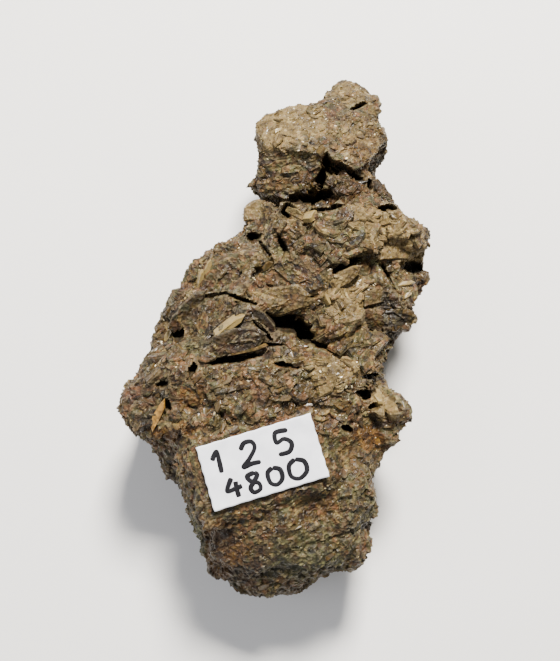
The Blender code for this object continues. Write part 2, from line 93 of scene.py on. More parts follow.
def turn_matrix(degrees: tuple[float, float, float]) -> Array:
    """A rotation matrix from Euler angles in degrees, X first."""
    return np.array(Euler([math.radians(a) for a in degrees]).to_matrix())


LABEL_AXES = turn_matrix(LABEL_TURN)


def drawing_shift() -> Array:
    """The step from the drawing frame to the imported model, from the middle of the label's box in each."""
    u, v = np.meshgrid(np.linspace(-1, 1, 13), np.linspace(-1, 1, 7))
    w = LabelSheet.curl(u, v)
    local = np.stack([u * LABEL_SIZE[0] / 2, v * LABEL_SIZE[1] / 2, w], axis=-1).reshape(-1, 3)
    placed = local @ LABEL_AXES.T + LABEL_CENTRE
    middle = (placed.min(axis=0) + placed.max(axis=0)) / 2
    shift = LABEL_PLACE - middle
    shift[2] = 0.0
    return shift


def linear(code: str) -> tuple[float, float, float, float]:
    """Turns an sRGB hex colour to linear light.

    Args:
        code: six hex digits.

    Returns:
        The colour with an alpha of 1. Each channel is ((c + 0.055) / 1.055) to the power 2.4, or c / 12.92
        where it is dark.
    """
    channels = [int(code[i:i + 2], 16) / 255 for i in (0, 2, 4)]
    return (*(((c + 0.055) / 1.055) ** 2.4 if c > 0.04045 else c / 12.92 for c in channels), 1.0)


def smooth_step(low: float, high: float, value: Array) -> Array:
    """Rises from 0 at low to 1 at high along t squared times (3 - 2 t)."""
    t = np.clip((value - low) / (high - low), 0.0, 1.0)
    return t * t * (3 - 2 * t)


def lattice_random(cells: Array, seed: int) -> Array:
    """Random numbers for whole-number cells.

    The three indices are multiplied by large primes, joined by exclusive-or with the seed, and mixed by
    shifts.

    Args:
        cells: whole numbers, shape (..., 3).
        seed: picks another set of numbers.

    Returns:
        Numbers from 0 to 1, shape (...).
    """
    c = cells.astype(np.int64)
    h = (c[..., 0] * 73856093) ^ (c[..., 1] * 19349663) ^ (c[..., 2] * 83492791) ^ (seed * 2654435761)
    for _ in range(2):
        h &= 0xFFFFFFFF
        h = (h ^ (h >> 16)) * 0x45D9F3B
    h &= 0xFFFFFFFF
    return (h ^ (h >> 16)) / 4294967296.0


def soft_noise(points: Array, wavelength: float, seed: int) -> Array:
    """Smooth noise from -1 to 1: random values at the corners of a lattice, blended by smooth steps.

    Args:
        points: places in millimetres, shape (N, 3).
        wavelength: the lattice's spacing in millimetres.
        seed: picks another field.

    Returns:
        One value a point.
    """
    scaled = points / wavelength
    base = np.floor(scaled)
    share = scaled - base
    share = share * share * (3 - 2 * share)
    total = np.zeros(len(points))
    for corner in np.ndindex(2, 2, 2):
        weight = np.prod(np.where(np.array(corner), share, 1 - share), axis=1)
        total += weight * lattice_random(base + corner, seed)
    return total * 2 - 1


def noise_vectors(points: Array, wavelength: float, seed: int) -> Array:
    """Three smooth noises with other seeds, as vectors."""
    return np.stack([soft_noise(points, wavelength, seed + k) for k in range(3)], axis=1)


def cell_pattern(points: Array, size: float, seed: int) -> tuple[Array, Array]:
    """The nearest of the seeds that lie at random in a lattice of cells, one in each.

    Args:
        points: places in millimetres, shape (N, 3).
        size: the cell size in millimetres.
        seed: picks another pattern.

    Returns:
        The vector from the nearest seed to each point, in millimetres, and the seed's cell as whole numbers.
    """
    scaled = points / size
    base = np.floor(scaled)
    best = np.full(len(points), np.inf)
    offset = np.zeros_like(points)
    owner = np.zeros_like(points)
    for step in np.ndindex(3, 3, 3):
        cell = base + step - 1
        jitter = np.stack([lattice_random(cell, seed + 11 * k) for k in range(3)], axis=1)
        away = scaled - (cell + jitter)
        distance = (away * away).sum(axis=1)
        nearer = distance < best
        best[nearer] = distance[nearer]
        offset[nearer] = away[nearer]
        owner[nearer] = cell[nearer]
    return offset * size, owner


def facet_heights(points: Array, size: float, seed: int, stretch: Array | None = None) -> tuple[Array, Array]:
    """Heights of a broken crystalline surface: every cell is a flat face with a tilt and a level of its own.

    The height is the cell's random tilt vector times the step from its seed, plus its random level.

    Args:
        points: places in millimetres, shape (N, 3).
        size: the cell size in millimetres.
        seed: picks another pattern.
        stretch: a matrix that turns and stretches the cells, or None.

    Returns:
        The heights, about -1 to 1, and one random number from 0 to 1 for each point's cell.
    """
    warped = points if stretch is None else points @ stretch.T
    offset, owner = cell_pattern(warped, size, seed)
    tilt = np.stack([lattice_random(owner, seed + 101 + k) for k in range(3)], axis=1) * 2 - 1
    level = lattice_random(owner, seed + 211) * 2 - 1
    heights = (tilt * offset).sum(axis=1) / size * 1.3 + level * 0.35
    return heights, lattice_random(owner, seed + 307)


def zone_weight(points: Array, zone: Zone) -> Array:
    """How much each point belongs to a zone: 1 inside its range along Y, with an uneven soft border."""
    low, high = ZONE_RANGES[zone]
    along = points[:, 1] + 1.8 * soft_noise(points, 5.0, 41)
    return smooth_step(low - ZONE_BLEND, low + ZONE_BLEND, along) * (
        1 - smooth_step(high - ZONE_BLEND, high + ZONE_BLEND, along)
    )


@dataclass(frozen=True)
class Patch:
    """A stained or pale place: an ellipsoid's middle and half sizes in the drawing, and its strength."""

    middle: tuple[float, float, float]
    reach: tuple[float, float, float]
    strength: float = 1.0

    def mask(self, points: Array) -> Array:
        """1 inside, falling to 0 past the edge, which coarse and fine noise make ragged."""
        away = (points - np.array(self.middle)) / np.array(self.reach)
        ragged = 0.30 * soft_noise(points, 2.6, 51) + 0.16 * soft_noise(points, 0.9, 52)
        distance = np.sqrt((away * away).sum(axis=1)) + ragged
        return self.strength * (1 - smooth_step(0.55, 1.2, distance))


class Stain(Enum):
    """The tones that lie over the rock's own brown, each a vertex attribute of that name.

    The pale tone is partly a pale crust and partly painted light on lit faces. The dark tone is partly a
    darker rock and partly painted shade.
    """

    PALE_AND_LIT = "pale"
    OCHRE = "ochre"
    GREEN = "green"
    RED = "red"
    DARK = "dark"


STAIN_PATCHES = {
    # A pale crust in part, and in part painted light, as at the upper right of the bladed part.
    Stain.PALE_AND_LIT: (
        Patch((1.6, 33.4, 19.0), (6.4, 4.6, 7.0), 0.8),
        Patch((10.2, 40.4, 13.6), (4.6, 3.4, 6.0), 0.45),
        Patch((11.4, 31.4, 18.0), (5.4, 4.8, 6.0), 0.35),
        Patch((-4.6, 21.0, 17.0), (2.6, 2.4, 5.0), 0.4),
        Patch((14.2, 16.4, 19.0), (6.6, 4.4, 7.0), 0.8),
        Patch((1.2, 17.2, 21.0), (4.2, 3.4, 5.0), 0.35),
        Patch((9.8, 5.6, 22.0), (4.6, 5.0, 6.0), 0.7),
        Patch((1.0, 5.0, 23.0), (5.6, 2.0, 5.0), 0.4),
        Patch((7.4, -5.8, 22.0), (4.6, 3.0, 6.0), 0.7),
        Patch((13.9, -9.0, 20.0), (1.5, 3.2, 6.0), 0.8),
        Patch((17.6, 13.6, 18.0), (4.0, 3.4, 6.0), 0.6),
        Patch((-17.6, -4.6, 18.0), (3.0, 2.4, 5.0), 0.35),
    ),
    Stain.OCHRE: (
        Patch((12.4, 22.6, 15.0), (5.4, 3.0, 7.0), 0.55),
        Patch((13.0, 30.0, 16.0), (4.6, 5.0, 7.0), 0.35),
        Patch((-12.4, -8.8, 21.0), (1.9, 2.2, 4.0), 1.0),
        Patch((-10.6, -6.8, 21.0), (1.5, 1.1, 4.0), 0.9),
        Patch((-13.4, -13.6, 19.0), (4.4, 1.5, 5.0), 0.75),
        Patch((-8.0, -29.0, 16.0), (4.0, 4.6, 9.0), 0.75),
        Patch((12.6, -14.0, 18.0), (3.0, 2.2, 6.0), 0.5),
        Patch((4.4, -10.6, 22.0), (5.0, 2.4, 4.0), 0.35),
        Patch((-6.0, 19.6, 14.0), (3.0, 3.0, 6.0), 0.35),
        Patch((20.0, 9.0, 12.0), (3.0, 3.4, 6.0), 0.4),
    ),
    Stain.GREEN: (
        Patch((1.8, 27.2, 20.0), (4.6, 2.8, 6.0), 0.3),
        Patch((3.0, -29.0, 17.0), (6.6, 4.6, 8.0), 0.5),
        Patch((-11.7, -27.0, 12.0), (1.8, 6.0, 7.0), 0.8),
        Patch((9.4, 12.6, 20.0), (4.0, 4.0, 6.0), 0.4),
        Patch((-9.6, -1.8, 20.0), (4.6, 3.4, 5.0), 0.35),
        Patch((9.8, -23.0, 17.0), (3.6, 5.6, 8.0), 0.35),
        Patch((-2.0, 12.0, 20.0), (3.0, 4.0, 6.0), 0.25),
    ),
    Stain.RED: (
        Patch((-18.8, -8.4, 16.0), (3.4, 3.6, 6.0), 0.6),
        Patch((-3.0, -8.6, 22.0), (3.0, 2.4, 4.0), 0.3),
        Patch((2.6, -12.4, 22.0), (6.0, 1.5, 4.0), 0.5),
        Patch((-3.0, 25.2, 17.0), (2.4, 2.0, 5.0), 0.1),
        Patch((-1.4, 7.6, 22.0), (4.0, 2.4, 5.0), 0.3),
    ),
    # A darker tone in part, and in part painted shade, as on the neck below the lobe.
    Stain.DARK: (
        Patch((-14.9, -18.6, 12.0), (3.4, 3.2, 6.0), 0.6),
        Patch((3.8, 20.8, 15.0), (5.0, 2.4, 5.0), 0.7),
        Patch((12.4, 23.4, 16.0), (5.4, 3.2, 6.0), 0.8),
        Patch((8.4, 10.6, 21.6), (3.6, 1.8, 5.0), 0.2),
        Patch((0.6, 0.6, 19.0), (4.4, 1.8, 5.0), 0.55),
        Patch((-5.6, -0.2, 22.6), (6.4, 4.0, 6.0), 1.0),
        Patch((-12.4, 4.6, 18.6), (4.4, 2.4, 6.0), 0.7),
        Patch((-9.0, 9.0, 20.0), (5.0, 4.0, 6.0), 0.3),
        Patch((-18.0, -9.0, 17.0), (5.0, 5.4, 8.0), 0.7),
        Patch((-7.0, -29.4, 15.0), (5.6, 5.6, 10.0), 0.85),
        Patch((0.0, -29.0, 18.0), (14.0, 8.0, 12.0), 0.2),
        Patch((-4.6, -4.0, 22.0), (3.6, 1.3, 3.0), 0.5),
        Patch((-20.0, -12.0, 15.0), (3.0, 2.0, 6.0), 0.4),
        Patch((15.0, 3.4, 19.0), (3.4, 3.6, 6.0), 0.8),
        Patch((-9.6, 16.0, 17.0), (2.6, 2.0, 6.0), 0.4),
    ),
}


def stain_mask(points: Array, stain: Stain) -> Array:
    """The strongest of a tone's patches at each point."""
    return np.max([patch.mask(points) for patch in STAIN_PATCHES[stain]], axis=0)


def label_local(points: Array) -> Array:
    """Points of the drawing frame in the label's own frame: across, along and above its middle."""
    return (points - LABEL_CENTRE) @ LABEL_AXES


def label_cover(points: Array, margin: float) -> Array:
    """1 under the label and near it, and 0 past the margin, in millimetres."""
    local = label_local(points)
    past = np.maximum(np.abs(local[:, 0]) - LABEL_SIZE[0] / 2, np.abs(local[:, 1]) - LABEL_SIZE[1] / 2)
    near = 1 - smooth_step(0.0, margin, past)
    return near * smooth_step(-8.0, -4.0, local[:, 2])


@dataclass
class Surface:
    """A mesh as arrays, in millimetres of the drawing frame, of faces with the same number of corners."""

    points: Array
    faces: Array

    @property
    def triangles(self) -> Array:
        """The faces as triangles: a four-cornered face is two."""
        if self.faces.shape[1] == 3:
            return self.faces
        return np.concatenate([self.faces[:, (0, 1, 2)], self.faces[:, (0, 2, 3)]])

    def normals(self) -> Array:
        """Unit normals at the points: the area-weighted sum of the faces around each."""
        a, b, c = (self.points[self.triangles[:, k]] for k in range(3))
        crosses = np.cross(b - a, c - a)
        total = np.zeros_like(self.points)
        for k in range(3):
            for axis in range(3):
                total[:, axis] += np.bincount(self.triangles[:, k], crosses[:, axis], len(self.points))
        return total / np.maximum(np.linalg.norm(total, axis=1, keepdims=True), 1e-9)

    def neighbour_mean(self, values: Array, rounds: int) -> Array:
        """Values averaged with those of the neighbouring points, some rounds over."""
        corners = self.faces.shape[1]
        ends = np.concatenate([self.faces[:, (k, (k + 1) % corners)] for k in range(corners)])
        count = np.bincount(ends[:, 0], minlength=len(self.points))
        count = np.maximum(count + np.bincount(ends[:, 1], minlength=len(self.points)), 1)
        result = values.copy()
        for _ in range(rounds):
            total = np.zeros_like(result)
            for axis in range(result.shape[1]):
                total[:, axis] = np.bincount(ends[:, 0], result[ends[:, 1], axis], len(self.points))
                total[:, axis] += np.bincount(ends[:, 1], result[ends[:, 0], axis], len(self.points))
            result = 0.4 * result + 0.6 * total / count[:, None]
        return result

    @cached_property
    def broad_normals(self) -> Array:
        """Normals that follow only the broad form: averaged with their neighbours', and made unit again."""
        broad = self.neighbour_mean(self.normals(), 8)
        return broad / np.maximum(np.linalg.norm(broad, axis=1, keepdims=True), 1e-9)

    def part(self, chosen: Array) -> tuple["Surface", Array]:
        """The chosen faces as a surface of their own, and the numbers of its points in this one."""
        used, renumbered = np.unique(self.faces[chosen], return_inverse=True)
        return Surface(self.points[used], renumbered.reshape(-1, self.faces.shape[1])), used


def hull_surface(points: Array) -> Surface:
    """The convex hull of a few points, as triangles that face outward."""
    bm = bmesh.new()
    for point in points:
        bm.verts.new(point)
    bmesh.ops.convex_hull(bm, input=bm.verts)
    bmesh.ops.triangulate(bm, faces=bm.faces)
    bmesh.ops.recalc_face_normals(bm, faces=bm.faces)
    bm.verts.index_update()
    corners = np.array([tuple(v.co) for v in bm.verts])
    faces = np.array([[v.index for v in face.verts] for face in bm.faces])
    bm.free()
    return Surface(corners, faces)


def new_piece(name: str, surface: Surface, material: bpy.types.Material, smooth: bool) -> bpy.types.Object:
    """Makes an object from a surface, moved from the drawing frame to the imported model.

    Args:
        name: the piece's name.
        surface: its mesh in the drawing frame.
        material: its finish.
        smooth: whether its faces are shaded smooth.

    Returns:
        The object, at the origin, with its place in its mesh.
    """
    mesh = mesh_of(surface, smooth)
    mesh.materials.append(material)
    piece = bpy.data.objects.new(name, mesh)
    bpy.context.scene.collection.objects.link(piece)
    return piece


def mesh_of(surface: Surface, smooth: bool = False) -> bpy.types.Mesh:
    """A mesh from a surface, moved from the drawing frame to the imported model."""
    placed = (surface.points + SHIFT) * MM
    corners = surface.faces.shape[1]
    mesh = bpy.data.meshes.new("surface")
    mesh.vertices.add(len(placed))
    mesh.vertices.foreach_set("co", placed.astype(np.float32).ravel())
    mesh.loops.add(surface.faces.size)
    mesh.loops.foreach_set("vertex_index", surface.faces.astype(np.int32).ravel())
    mesh.polygons.add(len(surface.faces))
    mesh.polygons.foreach_set("loop_start", np.arange(0, surface.faces.size, corners, dtype=np.int32))
    mesh.polygons.foreach_set("use_smooth", np.full(len(surface.faces), smooth))
    mesh.update(calc_edges=True)
    mesh.validate()
    return mesh


def set_values(piece: bpy.types.Object, name: str, values: Array) -> None:
    """Stores one number a point as an attribute that the materials read."""
    attribute = piece.data.attributes.new(name, "FLOAT", "POINT")
    attribute.data.foreach_set("value", values.astype(np.float32))


def dress(piece: bpy.types.Object, points: Array, facet: Array, hollow: Array, edge: Array) -> None:
    """Stores what the rock's finish reads at each point.

    Args:
        piece: the finished piece.
        points: the places that pick the stains, in the drawing frame.
        facet: the random tone of the face that each point is on.
        hollow: how deep it lies in a hollow, which the finish paints as shade.
        edge: how near it is to a crest or rim, which the finish paints paler.
    """
    set_values(piece, "facet", facet)
    set_values(piece, "hollow", hollow)
    set_values(piece, "edge", edge)
    for stain in Stain:
        set_values(piece, stain.value, stain_mask(points, stain))


def hand_over(piece: bpy.types.Object, slot: str, *nodes: str) -> None:
    """Parents a finished piece to the body, hides the nodes that it stands for, and logs its triangles."""
    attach(piece, BODY)
    if nodes:
        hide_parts(*nodes)
    triangles = sum(len(polygon.vertices) - 2 for polygon in piece.data.polygons)
    log.info("%s: %d triangles", piece.name, triangles)


def toned(stops: tuple, tone: tuple[float, float, float]) -> tuple:
    """Brings colour stops down to the depth of tone of the lit stone.

    Args:
        stops: (place, hex colour) of each stop.
        tone: what each sRGB channel is multiplied by.

    Returns:
        The stops with the new colours.
    """
    def code(old: str) -> str:
        """One colour, toned."""
        return "".join(f"{round(int(old[2 * k:2 * k + 2], 16) * share):02X}" for k, share in enumerate(tone))

    return tuple((place, code(old)) for place, old in stops)


def add(tree: bpy.types.NodeTree, kind: str, inputs: dict | None = None, **settings) -> bpy.types.Node:
    """Adds a node with its settings and its links.

    Args:
        tree: the material's nodes.
        kind: the node's type, without the words ShaderNode.
        inputs: a value or another node's socket for each input, by name or number.
        **settings: the node's own properties. The setting stops fills a colour ramp with (place, hex colour).

    Returns:
        The node.
    """
    node = tree.nodes.new("ShaderNode" + kind)
    for name, value in settings.items():
        if name == "stops":
            ramp = node.color_ramp
            while len(ramp.elements) < len(value):
                ramp.elements.new(0.5)
            for element, (place, code) in zip(ramp.elements, value):
                element.position = place
                element.color = linear(code)
        else:
            setattr(node, name, value)
    for key, value in (inputs or {}).items():
        if isinstance(value, bpy.types.NodeSocket):
            tree.links.new(value, node.inputs[key])
        else:
            node.inputs[key].default_value = value
    return node


def per_metre(millimetres: float) -> float:
    """The scale of a pattern on Object coordinates, in metres, that repeats every so many millimetres."""
    return 1 / (millimetres * MM)


def start_material(name: str) -> tuple[bpy.types.Material, bpy.types.NodeTree, bpy.types.Node]:
    """A new material with its nodes and its Principled shader."""
    material = bpy.data.materials.new(name)
    material.use_nodes = True
    return material, material.node_tree, material.node_tree.nodes["Principled BSDF"]


@dataclass(frozen=True)
class RockFinish:
    """Massive brown axinite grown through with calcite, quartz and green silicates, broken and weathered.

    Its freshly broken grains are each of one tone, so the eye sees a close mottle, with pale crusts and rust
    stains. Painted shade darkens the hollows and holes, and the pale and dark patches are partly painted light
    and shade. The grains' faces are glassy, and the weathered places are matt.
    """

    name: str = "broken_axinite_rock"
    grain: float = 0.5
    speck: float = 0.85
    drift: float = 3.0
    cluster: float = 3.6
    warp: float = 0.0003
    ior: float = 1.6
    shine: float = 0.22
    tone: tuple[float, float, float] = (0.885, 0.865, 0.815)
    minerals: tuple = (
        (0.0, "151008"), (0.16, "2D220E"), (0.38, "3E3116"), (0.55, "504020"), (0.68, "3A381E"),
        (0.8, "5C4B26"), (0.9, "49341F"), (1.0, "847246"),
    )
    pale: tuple = ((0.0, "4C3C22"), (0.35, "695833"), (0.7, "7A6944"), (0.88, "7A6040"), (1.0, "9C8C62"))
    ochre: tuple = ((0.0, "251606"), (0.4, "4C300D"), (0.75, "644214"), (1.0, "7C5F2C"))
    green: tuple = ((0.0, "191A0E"), (0.5, "3C3C23"), (1.0, "6A6A48"))
    red: tuple = ((0.0, "231409"), (0.5, "4E2F1A"), (1.0, "7C5638"))
    edge: str = "7F7356"
    # The shade colour: painted shade in hollows and holes, and the darker patches and clusters.
    painted_shade_and_dark_tone: str = "130D07"

    def build(self) -> bpy.types.Material:
        """Makes the material: grains of two sizes pick mineral tones, under stains and painted shade in
        hollows.
        """
        material, tree, shader = start_material(self.name)
        place = add(tree, "TexCoord").outputs["Object"]
        wander = add(tree, "TexNoise", {"Vector": place, "Scale": per_metre(1.1), "Detail": 3.0})
        reach = {0: wander.outputs["Color"], 1: (self.warp,) * 3}
        warp = add(tree, "VectorMath", reach, operation="MULTIPLY")
        moved = add(tree, "VectorMath", {0: place, 1: warp.outputs[0]}, operation="ADD").outputs[0]
        fine = add(tree, "TexVoronoi", {"Vector": moved, "Scale": per_metre(self.grain)})
        coarse = add(tree, "TexVoronoi", {"Vector": moved, "Scale": per_metre(self.speck)})
        pick_fine = add(tree, "SeparateColor", {0: fine.outputs["Color"]})
        pick_coarse = add(tree, "SeparateColor", {0: coarse.outputs["Color"]})
        facet = add(tree, "Attribute", attribute_name="facet")
        parts = {0: 0.45, 2: pick_coarse.outputs[0], 3: facet.outputs["Fac"]}
        both = add(tree, "Mix", parts, data_type="FLOAT")
        tone = add(tree, "Mix", {0: 0.42, 2: both.outputs[0], 3: pick_fine.outputs[0]}, data_type="FLOAT")
        spread = add(tree, "MapRange", {0: tone.outputs[0], 1: 0.16, 2: 0.80})
        palettes = (self.minerals, self.green, self.red, self.ochre, self.pale)
        minerals, green, red, ochre, pale = (toned(stops, self.tone) for stops in palettes)
        colour = add(tree, "ValToRGB", {0: spread.outputs[0]}, stops=minerals).outputs[0]
        small = {"Vector": place, "Scale": per_metre(0.8), "Detail": 4.0, "Roughness": 0.7}
        cloud = add(tree, "TexNoise", small)
        for channel, stops in ((1, green), (2, red)):
            over = add(tree, "ValToRGB", {0: spread.outputs[0]}, stops=stops).outputs[0]
            picked = pick_coarse.outputs[channel]
            share = add(tree, "MapRange", {0: picked, 1: 0.45, 2: 0.95, 4: 0.75}).outputs[0]
            colour = add(tree, "Mix", {0: share, 6: colour, 7: over}, data_type="RGBA").outputs[2]
        # The pale overlay follows the pale tone: partly a pale crust, partly painted light on lit faces.
        overlays = (("green", green, 1.2), ("red", red, 1.2), ("ochre", ochre, 1.1), ("pale", pale, 1.0))
        for k, (stain, stops, reach) in enumerate(overlays):
            over = add(tree, "ValToRGB", {0: spread.outputs[0]}, stops=stops).outputs[0]
            amount = add(tree, "Attribute", attribute_name=stain).outputs["Fac"]
            drifting = {"Vector": place, "W": 3.7 * k, "Scale": per_metre(self.drift), "Detail": 2.0}
            wide = add(tree, "TexNoise", drifting, noise_dimensions="4D").outputs["Fac"]
            drifted = add(tree, "Math", {0: wide, 1: reach, 2: amount}, operation="MULTIPLY_ADD").outputs[0]
            lifted = add(tree, "Math", {0: drifted, 1: cloud.outputs["Fac"]}, operation="ADD").outputs[0]
            share = add(tree, "MapRange", {0: lifted, 1: 0.62 + reach / 2, 2: 1.16 + reach / 2},
                        interpolation_type="SMOOTHSTEP").outputs[0]
            colour = add(tree, "Mix", {0: share, 6: colour, 7: over}, data_type="RGBA").outputs[2]
        # Dark patches and random dark clusters, mixed towards the shade colour: the patches are partly a
        # darker tone and partly painted shade.
        dark = add(tree, "Attribute", attribute_name="dark").outputs["Fac"]
        clustered = {"Vector": place, "Scale": per_metre(self.cluster), "Detail": 3.0}
        wide = add(tree, "TexNoise", clustered).outputs["Fac"]
        shaded = add(tree, "MapRange", {0: wide, 1: 0.46, 2: 0.68, 4: 0.42}).outputs[0]
        sum_of_both = {0: dark, 1: 0.6, 2: shaded}
        dark_tone_and_shade = add(tree, "Math", sum_of_both, operation="MULTIPLY_ADD", use_clamp=True).outputs[0]
        colour = add(tree, "Mix", {0: dark_tone_and_shade, 6: colour, 7: linear(self.painted_shade_and_dark_tone)}, data_type="RGBA").outputs[2]
        worn = add(tree, "Attribute", attribute_name="edge").outputs["Fac"]
        patchy = add(tree, "Math", {0: worn, 1: cloud.outputs["Fac"]}, operation="MULTIPLY").outputs[0]
        rim = add(tree, "MapRange", {0: patchy, 1: 0.28, 2: 0.7, 4: 0.45}).outputs[0]
        colour = add(tree, "Mix", {0: rim, 6: colour, 7: linear(self.edge)}, data_type="RGBA").outputs[2]
        # Painted shade: the deeper a point lies in a hollow or a hole, the nearer it comes to the shade
        # colour.
        hollow = add(tree, "Attribute", attribute_name="hollow").outputs["Fac"]
        painted_shade = add(tree, "MapRange", {0: hollow, 1: 0.2, 2: 1.2, 4: 0.8}).outputs[0]
        colour = add(tree, "Mix", {0: painted_shade, 6: colour, 7: linear(self.painted_shade_and_dark_tone)}, data_type="RGBA").outputs[2]
        tree.links.new(colour, shader.inputs["Base Color"])
        gloss = add(tree, "MapRange", {0: pick_fine.outputs[1], 3: 0.28, 4: 0.85})
        tree.links.new(gloss.outputs[0], shader.inputs["Roughness"])
        shader.inputs["IOR"].default_value = self.ior
        shader.inputs["Specular IOR Level"].default_value = self.shine
        gritty = {"Vector": place, "Scale": per_metre(0.35), "Detail": 3.0, "Roughness": 0.6}
        rough = add(tree, "TexNoise", gritty)
        lumps = add(tree, "Math", {0: fine.outputs["Distance"], 1: rough.outputs["Fac"]}, operation="ADD")
        bump = add(tree, "Bump", {"Strength": 0.8, "Distance": 0.0002, "Height": lumps.outputs[0]})
        tree.links.new(bump.outputs[0], shader.inputs["Normal"])
        return material


@dataclass(frozen=True)
class CrystalFinish:
    """Axinite crystal: clove-brown to grey-violet glass with a high gloss, clouded by cracks and thin crust.

    Its index of refraction is about 1.68, so its faces flash where they turn to the light.
    """

    name: str = "axinite_crystal"
    ior: float = 1.68
    shine: float = 0.35
    tone: tuple[float, float, float] = (0.9, 0.885, 0.835)
    body: tuple = (
        (0.0, "1A1308"), (0.2, "31240F"), (0.42, "443418"), (0.6, "564423"), (0.74, "3E381E"),
        (0.86, "5A4629"), (1.0, "857348"),
    )
    rust: str = "3F2306"
    low_gloss: float = 0.55
    high_gloss: float = 0.22

    def build(self) -> bpy.types.Material:
        """Makes the material: each crystal has a tone of its own, clouded, and stained with rust in places."""
        material, tree, shader = start_material(self.name)
        place = add(tree, "TexCoord").outputs["Object"]
        tint = add(tree, "Attribute", attribute_name="tint").outputs["Fac"]
        cracked = {"Vector": place, "Scale": per_metre(0.7), "Detail": 5.0, "Roughness": 0.7}
        cloud = add(tree, "TexNoise", cracked).outputs["Fac"]
        shifted = add(tree, "Math", {0: cloud, 1: 0.9, 2: tint}, operation="MULTIPLY_ADD").outputs[0]
        spread = add(tree, "MapRange", {0: shifted, 1: 0.3, 2: 1.15}).outputs[0]
        colour = add(tree, "ValToRGB", {0: spread}, stops=toned(self.body, self.tone)).outputs[0]
        rusty = {"Vector": place, "Scale": per_metre(4.2), "Detail": 4.0, "Roughness": 0.65}
        stain = add(tree, "TexNoise", rusty)
        rust = add(tree, "MapRange", {0: stain.outputs["Fac"], 1: 0.56, 2: 0.74, 4: 0.55}).outputs[0]
        colour = add(tree, "Mix", {0: rust, 6: colour, 7: linear(self.rust)}, data_type="RGBA").outputs[2]
        tree.links.new(colour, shader.inputs["Base Color"])
        worn = add(tree, "TexNoise", {"Vector": place, "Scale": per_metre(0.5), "Detail": 2.0})
        limits = {0: worn.outputs["Fac"], 1: 0.35, 2: 0.65, 3: self.high_gloss, 4: self.low_gloss}
        gloss = add(tree, "MapRange", limits)
        tree.links.new(gloss.outputs[0], shader.inputs["Roughness"])
        shader.inputs["IOR"].default_value = self.ior
        shader.inputs["Specular IOR Level"].default_value = self.shine
        fine = add(tree, "TexNoise", {"Vector": place, "Scale": per_metre(0.3), "Detail": 3.0})
        bump = add(tree, "Bump", {"Strength": 0.35, "Distance": 0.0001, "Height": fine.outputs["Fac"]})
        tree.links.new(bump.outputs[0], shader.inputs["Normal"])
        return material


# The tones of small chips: pale to nearly white, a painted glint over their own gloss.
GLINT_TONES = ((0.0, "2D200D"), (0.45, "55431F"), (0.7, "86744C"), (0.86, "AC9E78"), (1.0, "D9CFB4"))


@dataclass(frozen=True)
class GoldFinish:
    """A cleavage flake of yellow-brown axinite with a pearly, nearly metallic gleam."""

    name: str = "golden_cleavage"
    deep: str = "5E4214"
    bright: str = "A67C38"

    def build(self) -> bpy.types.Material:
        """Makes the material: stripes of deep and bright gold along the flake."""
        material, tree, shader = start_material(self.name)
        place = add(tree, "TexCoord").outputs["Object"]
        cloud = add(tree, "TexNoise", {"Vector": place, "Scale": per_metre(0.6), "Detail": 3.0})
        share = add(tree, "MapRange", {0: cloud.outputs["Fac"], 1: 0.35, 2: 0.65}).outputs[0]
        colour = add(tree, "Mix", {0: share, 6: linear(self.deep), 7: linear(self.bright)}, data_type="RGBA")
        tree.links.new(colour.outputs[2], shader.inputs["Base Color"])
        shader.inputs["Roughness"].default_value = 0.3
        shader.inputs["Metallic"].default_value = 0.3
        return material


@dataclass(frozen=True)
class PaperFinish:
    """Bleached writing paper of a self-stick label: matt, faintly blue, with a soft fibre."""

    name: str = "label_paper"
    sheet: str = "E6E8EF"
    shade: str = "D3D5DD"
    fibre: float = 0.5

    def build(self) -> bpy.types.Material:
        """Makes the material: a slight cloudiness and a bump of fibres, coarser than real ones to show."""
        material, tree, shader = start_material(self.name)
        place = add(tree, "TexCoord").outputs["Object"]
        wide = {"Vector": place, "Scale": per_metre(2.4), "Detail": 4.0, "Roughness": 0.6}
        cloud = add(tree, "TexNoise", wide)
        share = add(tree, "MapRange", {0: cloud.outputs["Fac"], 1: 0.35, 2: 0.7}).outputs[0]
        colour = add(tree, "Mix", {0: share, 6: linear(self.sheet), 7: linear(self.shade)}, data_type="RGBA")
        tree.links.new(colour.outputs[2], shader.inputs["Base Color"])
        shader.inputs["Roughness"].default_value = 0.62
        fibres = add(tree, "TexNoise", {"Vector": place, "Scale": per_metre(self.fibre), "Detail": 4.0})
        bump = add(tree, "Bump", {"Strength": 0.2, "Distance": 0.00005, "Height": fibres.outputs["Fac"]})
        tree.links.new(bump.outputs[0], shader.inputs["Normal"])
        return material


@dataclass(frozen=True)
class InkFinish:
    """Black ink of a marker pen on paper: nearly black, a little glossy where it pooled."""

    name: str = "marker_ink"
    ink: str = "0C0C0F"
    thin: str = "1A1A1F"

    def build(self) -> bpy.types.Material:
        """Makes the material: a soft change from pooled to thin ink along the strokes."""
        material, tree, shader = start_material(self.name)
        place = add(tree, "TexCoord").outputs["Object"]
        cloud = add(tree, "TexNoise", {"Vector": place, "Scale": per_metre(1.2), "Detail": 2.0})
        blend = {0: cloud.outputs["Fac"], 6: linear(self.ink), 7: linear(self.thin)}
        colour = add(tree, "Mix", blend, data_type="RGBA")
        tree.links.new(colour.outputs[2], shader.inputs["Base Color"])
        shader.inputs["Roughness"].default_value = 0.6
        shader.inputs["Specular IOR Level"].default_value = 0.12
        return material


